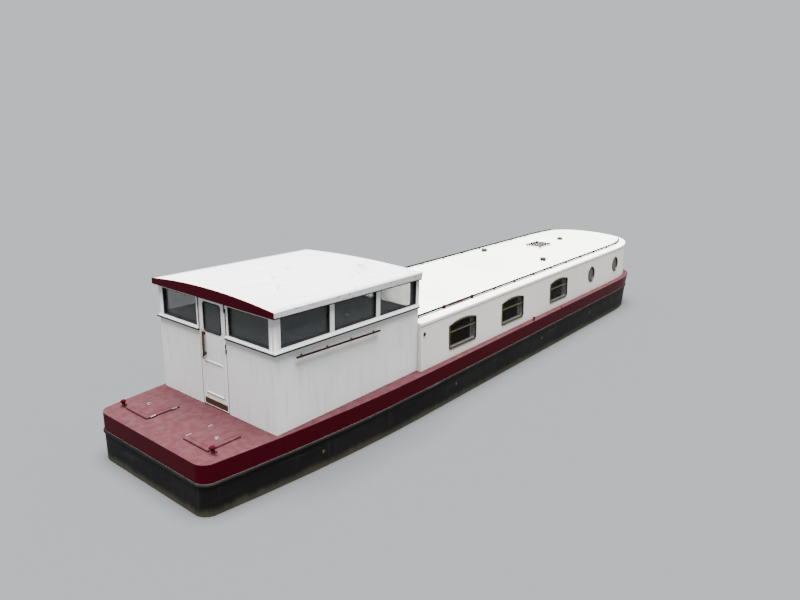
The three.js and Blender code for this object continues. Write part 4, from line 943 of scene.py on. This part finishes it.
for side_name, side in SIDES:
    bar = tube([rail_point(s, side) for s in RAIL_STOPS], 0.0185, 3)
    legs = [turned(LEG, rail_point(s, side, 0), 12) for s in RAIL_LEGS]
    balls = [turned(BALL, rail_point(s, side), 12, (1, 0, 0)) for s in (4.390, 14.07)]
    piece = done(fused([bar, *legs, *balls]), "roof_rail_" + side_name, rail_black, degrees=50)
    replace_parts(piece, "handrail_" + side_name)
    grip_way = rail_point(6.13, side) - rail_point(5.20, side)
    profile = GRIP_HALF + [(r, GRIP_LENGTH - h) for r, h in reversed(GRIP_HALF[:-1])]
    grip = turned(profile, rail_point(5.20, side), 20, grip_way)
    done(grip, "roof_rail_grip_" + side_name, weathered)

# Mushroom vents.
# Cast and turned: a flange bedded on the roof, a short neck with a gauze, and a domed cap with a
# rolled rim, which screws down on a knob. All are dark with age.
VENT = mm(0, 0, 74, 0, 76, 5, 71, 10, 62, 13, 59, 17, 59, 34, 74, 33, 80, 36, 81, 41, 77, 45, 70, 52, 52, 61,
          28, 66, 20, 66.5, 19, 69.5, 12, 71, 0, 71)
VENT_SCREW = mm(0, 3.5, 4, 3, 5.5, 0, 5.5, -3, 0, -3)
dark_metal = worn("dark_vent_metal", (0.013, 0.012, 0.011), 0.0, (26, 5, 0.4, 0.68, 1),
                  (0.034, 0.031, 0.027), (0.3, 0.35), (120, 3, 0.2, 0.001), 0.06)
for number, station, offset in ((1, 9.95, 0.86), (2, 9.965, -0.76), (3, 12.65, 0.08)):
    low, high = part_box(f"roof_vent_{number}")
    parts = [turned(VENT, (ahead(station), offset, low.z), 40)]
    parts += [turned(VENT_SCREW, (ahead(station) + u, offset + v, low.z + 0.012), 8)
              for u, v in circle(0.067, 4, 45)]
    piece = done(fused(parts), f"mushroom_vent_{number}", dark_metal, degrees=40)
    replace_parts(piece, f"roof_vent_{number}")

# Pole rack.
# A low rack of painted tube for long gear: two runners and five crossbars with rubber-tipped ends,
# on four feet that are screwed to the roof.
RACK_FOOT = mm(0, 0, 30, 0, 30, 4, 11, 9, 9.5, 20, 9.5, 50, 0, 50)
RACK_TIP = mm(0, -24, 15.5, -24, 16, 2, 11, 5, 0, 6)
bars, tips = [], []


def on_rack(station, across):
    return (ahead(station), across, roof_height(station, 0) + 0.048)


for across in (-0.085, 0.28):
    bars.append(tube([on_rack(11.08, across), on_rack(11.74, across)], 0.012, 3))
    for station in (11.14, 11.68):
        bars.append(turned(RACK_FOOT, (ahead(station), across, roof_height(station, across)), 14))
for station in (11.14, 11.275, 11.41, 11.545, 11.68):
    bars.append(tube([on_rack(station, -0.115), on_rack(station, 0.31)], 0.0126, 3))
    for across, way in ((-0.115, -1), (0.31, 1)):
        tips.append(turned(RACK_TIP, on_rack(station, across), 14, (0, way, 0)))
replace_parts(done(fused(bars), "pole_rack", rail_black, degrees=50), "roof_rack")
done(fused(tips), "pole_rack_tips", rubber)

# Floors and bulkheads.
# Tongued boards of varnished softwood run fore and aft. The bulkheads between the wheelhouse and
# the cabin are lined with upright painted boards, in the grey-green of the wheelhouse.
boards = Finish("floor_boards", (0.26, 0.155, 0.075), 0.42,
                constants={"Coat Weight": 0.2, "Coat Roughness": 0.25})
x, y, z = boards.axes()
across = y * 9.0
plank = across.math("FLOOR")
grain = boards.noise(4, 6, stretch=(1.5, 22, 8), warp=0.5)
boards.layer(boards.mask(grain, 0.32, 0.7), (0.37, 0.235, 0.125))
tone = boards.node("ShaderNodeTexNoise", (), {"Vector": boards.node("ShaderNodeCombineXYZ", (), {1: plank}),
                                              "Scale": 3.7})
boards.layer(boards.mask(tone, 0.35, 0.65) * 0.5, (0.17, 0.095, 0.045))
groove = boards.mask(across % 1.0, 0.03, 0.01) + boards.mask((x + plank * 0.83) % 2.1, 0.004, 0.001)
boards.layer(groove, (0.03, 0.02, 0.012))
boards.give("Roughness", 0.36 + boards.noise(3, 4) * 0.2)
boards.relief(grain * 0.3 - groove, 0.3, 0.002)
wear(["cabin_floor", "wheelhouse_floor"], boards)

lining = paint("lining_paint", (0.44, 0.46, 0.40), 0.45, (0.25, 0.25, 0.2), 0.12)
tongue = lining.mask((lining.axes()[1] * 10.0) % 1.0, 0.06, 0.02)
lining.layer(tongue * 0.7, (0.16, 0.17, 0.14))
lining.relief(lining.noise(150, 2) * 0.1 - tongue, 0.3, 0.003)
for side_name, side in SIDES:
    dressed("bulkhead_" + side_name, lining, bevel=0.003)

# Helm.
# A varnished plywood console stands on the floor to starboard. Its sloping top has three blank gauges
# in chromed rims, a throttle lever and a key switch. The six-spoked wheel is wood with a brass hub.
HELM_Y, CONSOLE_AFT, DASH_HEIGHT = -0.76, 3.88, 2.160
DASH_TILT = math.atan2(0.100, 0.330)
WHEEL_BODY = "steering_wheel_body"
GAUGE_RIM = mm(-6, 4, -4, 9, 0, 9, 5, 5, 6, -1, -6, -1, -6, 4)
KEY_SWITCH = mm(0, -1, 16, -1, 16, 4, 12, 7, 6, 7, 6, 16, 0, 16)
LEVER_FOOT = mm(0, -1, 34, -1, 34, 8, 26, 26, 12, 34, 0, 35)
SPOKE = mm(0, 30, 12, 30, 12.5, 50, 8.5, 60, 8.5, 75, 11.5, 90, 12.5, 115, 9.5, 140, 7.5, 155, 9.5, 165,
           9.5, 218, 0, 218)
HUB = mm(0, -30, 10, -30, 14, -24, 18, -20, 42, -17, 44, -14, 44, 14, 42, 17, 20, 19, 15, 24, 15, 74.5,
         0, 74.5)
BOSS = mm(16, 0, 32, 0, 32, 4, 22, 10, 17, 10, 16, 0)
dash_up = Vector((-math.sin(DASH_TILT), 0, math.cos(DASH_TILT)))
dash_along = Vector((math.cos(DASH_TILT), 0, math.sin(DASH_TILT)))


def on_dash(along, across, lift=0.0):
    """A point on the sloping top of the console, measured from the middle of its aft edge."""
    return Vector((ahead(CONSOLE_AFT), HELM_Y + across, DASH_HEIGHT)) + dash_along * along + dash_up * lift


dressed("helm_console", varnish, bevel=0.010, segments=3)
edging = [slab((ahead(3.86), -1.026, 1.201), (ahead(3.878), -1.008, 2.15)),
          slab((ahead(3.86), -0.512, 1.201), (ahead(3.878), -0.494, 2.15)),
          slab((ahead(3.862), -1.008, 1.201), (ahead(3.8785), -0.512, 1.27))]
done(fused(edging), "console_edging", varnish)
chrome = worn("worn_chrome", (0.55, 0.55, 0.55), 1.0, (90, 4, 0.56, 0.7, 0.5), (0.2, 0.18, 0.15), (0.14, 0.3),
              (200, 2, 0.06, 0.0005))
rims, dials = [], []
for across, size in ((-0.16, 0.042), (-0.045, 0.052), (0.07, 0.042)):
    middle, inner = on_dash(0.10, across), size - 0.006
    rims.append(turned([(size + u, v) for u, v in GAUGE_RIM], middle, 32, dash_up))
    dials.append(turned([(0, -0.001), (inner, -0.001), (inner, 0.0042), (0, 0.0042)], middle, 32, dash_up))
done(fused(rims), "gauge_rims", chrome, degrees=40)
done(fused(dials), "gauge_glasses", black_frame)
key_switch = turned(KEY_SWITCH, on_dash(0.09, 0.16), 20, dash_up)
lever_foot = turned(LEVER_FOOT, on_dash(0.23, 0.17), 28, dash_up)
bends = [on_dash(along, 0.17, lift) for along, lift in ((0.23, 0.02), (0.22, 0.09), (0.20, 0.13))]
lever = tube(eased(bends, 0.03), 0.006)
done(fused([key_switch, lever_foot, lever]), "helm_controls", chrome)
ball = [(0.017 * math.cos(math.radians(a)), 0.017 * math.sin(math.radians(a))) for a in range(-90, 91, 15)]
done(turned(ball, on_dash(0.20, 0.17, 0.138), 16, dash_up), "throttle_knob", rubber)

helm = Vector((ahead(3.805), HELM_Y, 2.05))
wooden = [tube([helm + Vector((0, u, v)) for u, v in circle(radius, 72)], thickness, fineness, closed=True)
          for radius, thickness, fineness in ((0.230, 0.0138, 3), (0.212, 0.0085, 2))]
wooden += [turned(SPOKE, helm, 14, (0, u, v)) for u, v in circle(1, 6)]
wheel = done(fused(wooden), "steering_wheel_wood", varnish, WHEEL_BODY, degrees=50)
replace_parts(wheel, "steering_wheel")
done(turned(HUB, helm, 28, (1, 0, 0)), "steering_wheel_hub", brass, WHEEL_BODY, degrees=40)
done(turned(BOSS, (ahead(CONSOLE_AFT), HELM_Y, 2.05), 24, AFTWARD), "steering_boss", brass)

# Locker seat and its cushions.
# A painted locker runs along the port side with three doors on its face. On it lie three boxed foam
# cushions in blue cloth, piped round their edges, a little slack and rumpled with use.
LOCKER_PULL = mm(0, 0, 7, 0, 6, 6, 12, 14, 12, 20, 6, 24, 0, 24)
LOCKER_FACE, SEAT_HEIGHT, SEAT_Y, SWELL = 0.752, 1.6105, 1.0125, 0.016
dressed("locker_seat", lining, bevel=0.004)
locker_doors, pulls = [], []
for start in (2.56, 3.10, 3.64):
    locker_doors.append(slab((ahead(start), LOCKER_FACE, 1.235), (ahead(start + 0.50), 0.7605, 1.565), 0.003))
    pulls.append(turned(LOCKER_PULL, (ahead(start + 0.43), LOCKER_FACE, 1.50), 16, (0, -1, 0)))
done(fused(locker_doors), "locker_doors", varnish)
done(fused(pulls), "locker_pulls", brass)

blue = Finish("blue_cloth", (0.035, 0.075, 0.20), 0.88,
              constants={"Sheen Weight": 0.35, "Sheen Roughness": 0.4})
warp, weft = [blue.node("ShaderNodeTexWave", {"bands_direction": way}, {"Vector": blue.place(), "Scale": 210})
              for way in ("X", "Y")]
weave = warp * 0.5 + weft * 0.5
blue.layer(blue.blotches(2.6, 4, 0.4, 0.7) * 0.6, (0.075, 0.14, 0.30))
blue.layer(weave * 0.35, (0.02, 0.04, 0.11))
blue.relief(weave + blue.noise(7, 4) * 2.5, 0.35, 0.0025)


def stuffed(low, high):
    """A boxed cushion: a smaller block, swollen by a cloth simulation whose result is kept."""
    piece = slab([a + SWELL for a in low], [b - SWELL for b in high], 0.022, 4)
    cells = piece.modifiers.new("cells", "REMESH")
    cells.mode = "VOXEL"
    cells.voxel_size = 0.009
    bpy.ops.object.modifier_apply(modifier="cells")
    rest = [vertex.co.copy() for vertex in piece.data.vertices]
    puff = piece.modifiers.new("puff", "CLOTH")
    puff.settings.use_pressure = True
    puff.settings.uniform_pressure_force = 4
    puff.settings.effector_weights.gravity = 0
    puff.point_cache.frame_end = 20
    for step in range(1, 21):
        scene.frame_set(step)
    bpy.ops.object.modifier_apply(modifier="puff")
    scene.frame_set(1)
    for vertex, start in zip(piece.data.vertices, rest):
        move = vertex.co - start
        vertex.co = start + move * min(1, SWELL / max(move.length, 1e-6))
        vertex.co.z = max(vertex.co.z, low[2] + 0.0005)
    return piece


cushion_model = stuffed((-0.276, -0.247, 0.0), (0.276, 0.247, 0.089))
for number, station in enumerate((2.7967, 3.35, 3.9033), 1):
    middle = Vector((ahead(station), SEAT_Y, SEAT_HEIGHT))
    cushion = again(cushion_model, Matrix.Translation(middle))
    outline = squared(middle.x - 0.262, middle.x + 0.262, SEAT_Y - 0.233, SEAT_Y + 0.233, 0.05)(0)
    dense = [Vector(a).lerp(Vector(b), t / 6) for a, b in zip(outline, outline[1:]) for t in range(6)]
    seams = []
    for height in (0.020, 0.068):
        run = []
        for point in dense:
            outside = point + (point - middle.xy).normalized() * 0.03
            run.append(cushion.closest_point_on_mesh((*outside, SEAT_HEIGHT + height))[1])
        seams.append(tube(run, 0.0042, 2, closed=True))
    done(cushion, f"seat_cushion_{number}", blue, degrees=80)
    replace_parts(cushion, "seat_cushion")
    done(fused(seams), f"cushion_piping_{number}", blue, degrees=80)
put_away([cushion_model])

# Running gear.
# Rudder of plate steel on a stock, bronze three-bladed propeller on its shaft under the counter, and
# a marine diesel in old green enamel under the wheelhouse floor.
gear_steel = paint("gear_steel", (0.05, 0.045, 0.042), 0.6, (0.17, 0.075, 0.035), 0.6)
scale = gear_steel.blotches(18, 6, 0.5, 0.7)
gear_steel.layer(scale * 0.7, (0.14, 0.065, 0.03))
gear_steel.give("Roughness", 0.55 + scale * 0.3)
dressed("rudder", gear_steel, bevel=0.003, body="rudder_body")
bronze = worn("propeller_bronze", (0.42, 0.24, 0.10), 1.0, (16, 5, 0.45, 0.7, 0.8), (0.12, 0.15, 0.09),
              (0.28, 0.4), (90, 3, 0.25, 0.001))
dressed("propeller", bronze, bevel=0.0015, body="propeller_body", degrees=45)
enamel = paint("engine_enamel", (0.035, 0.10, 0.06), 0.4, (0.05, 0.035, 0.02), 0.5)
dressed("engine", enamel, bevel=0.008, segments=3)
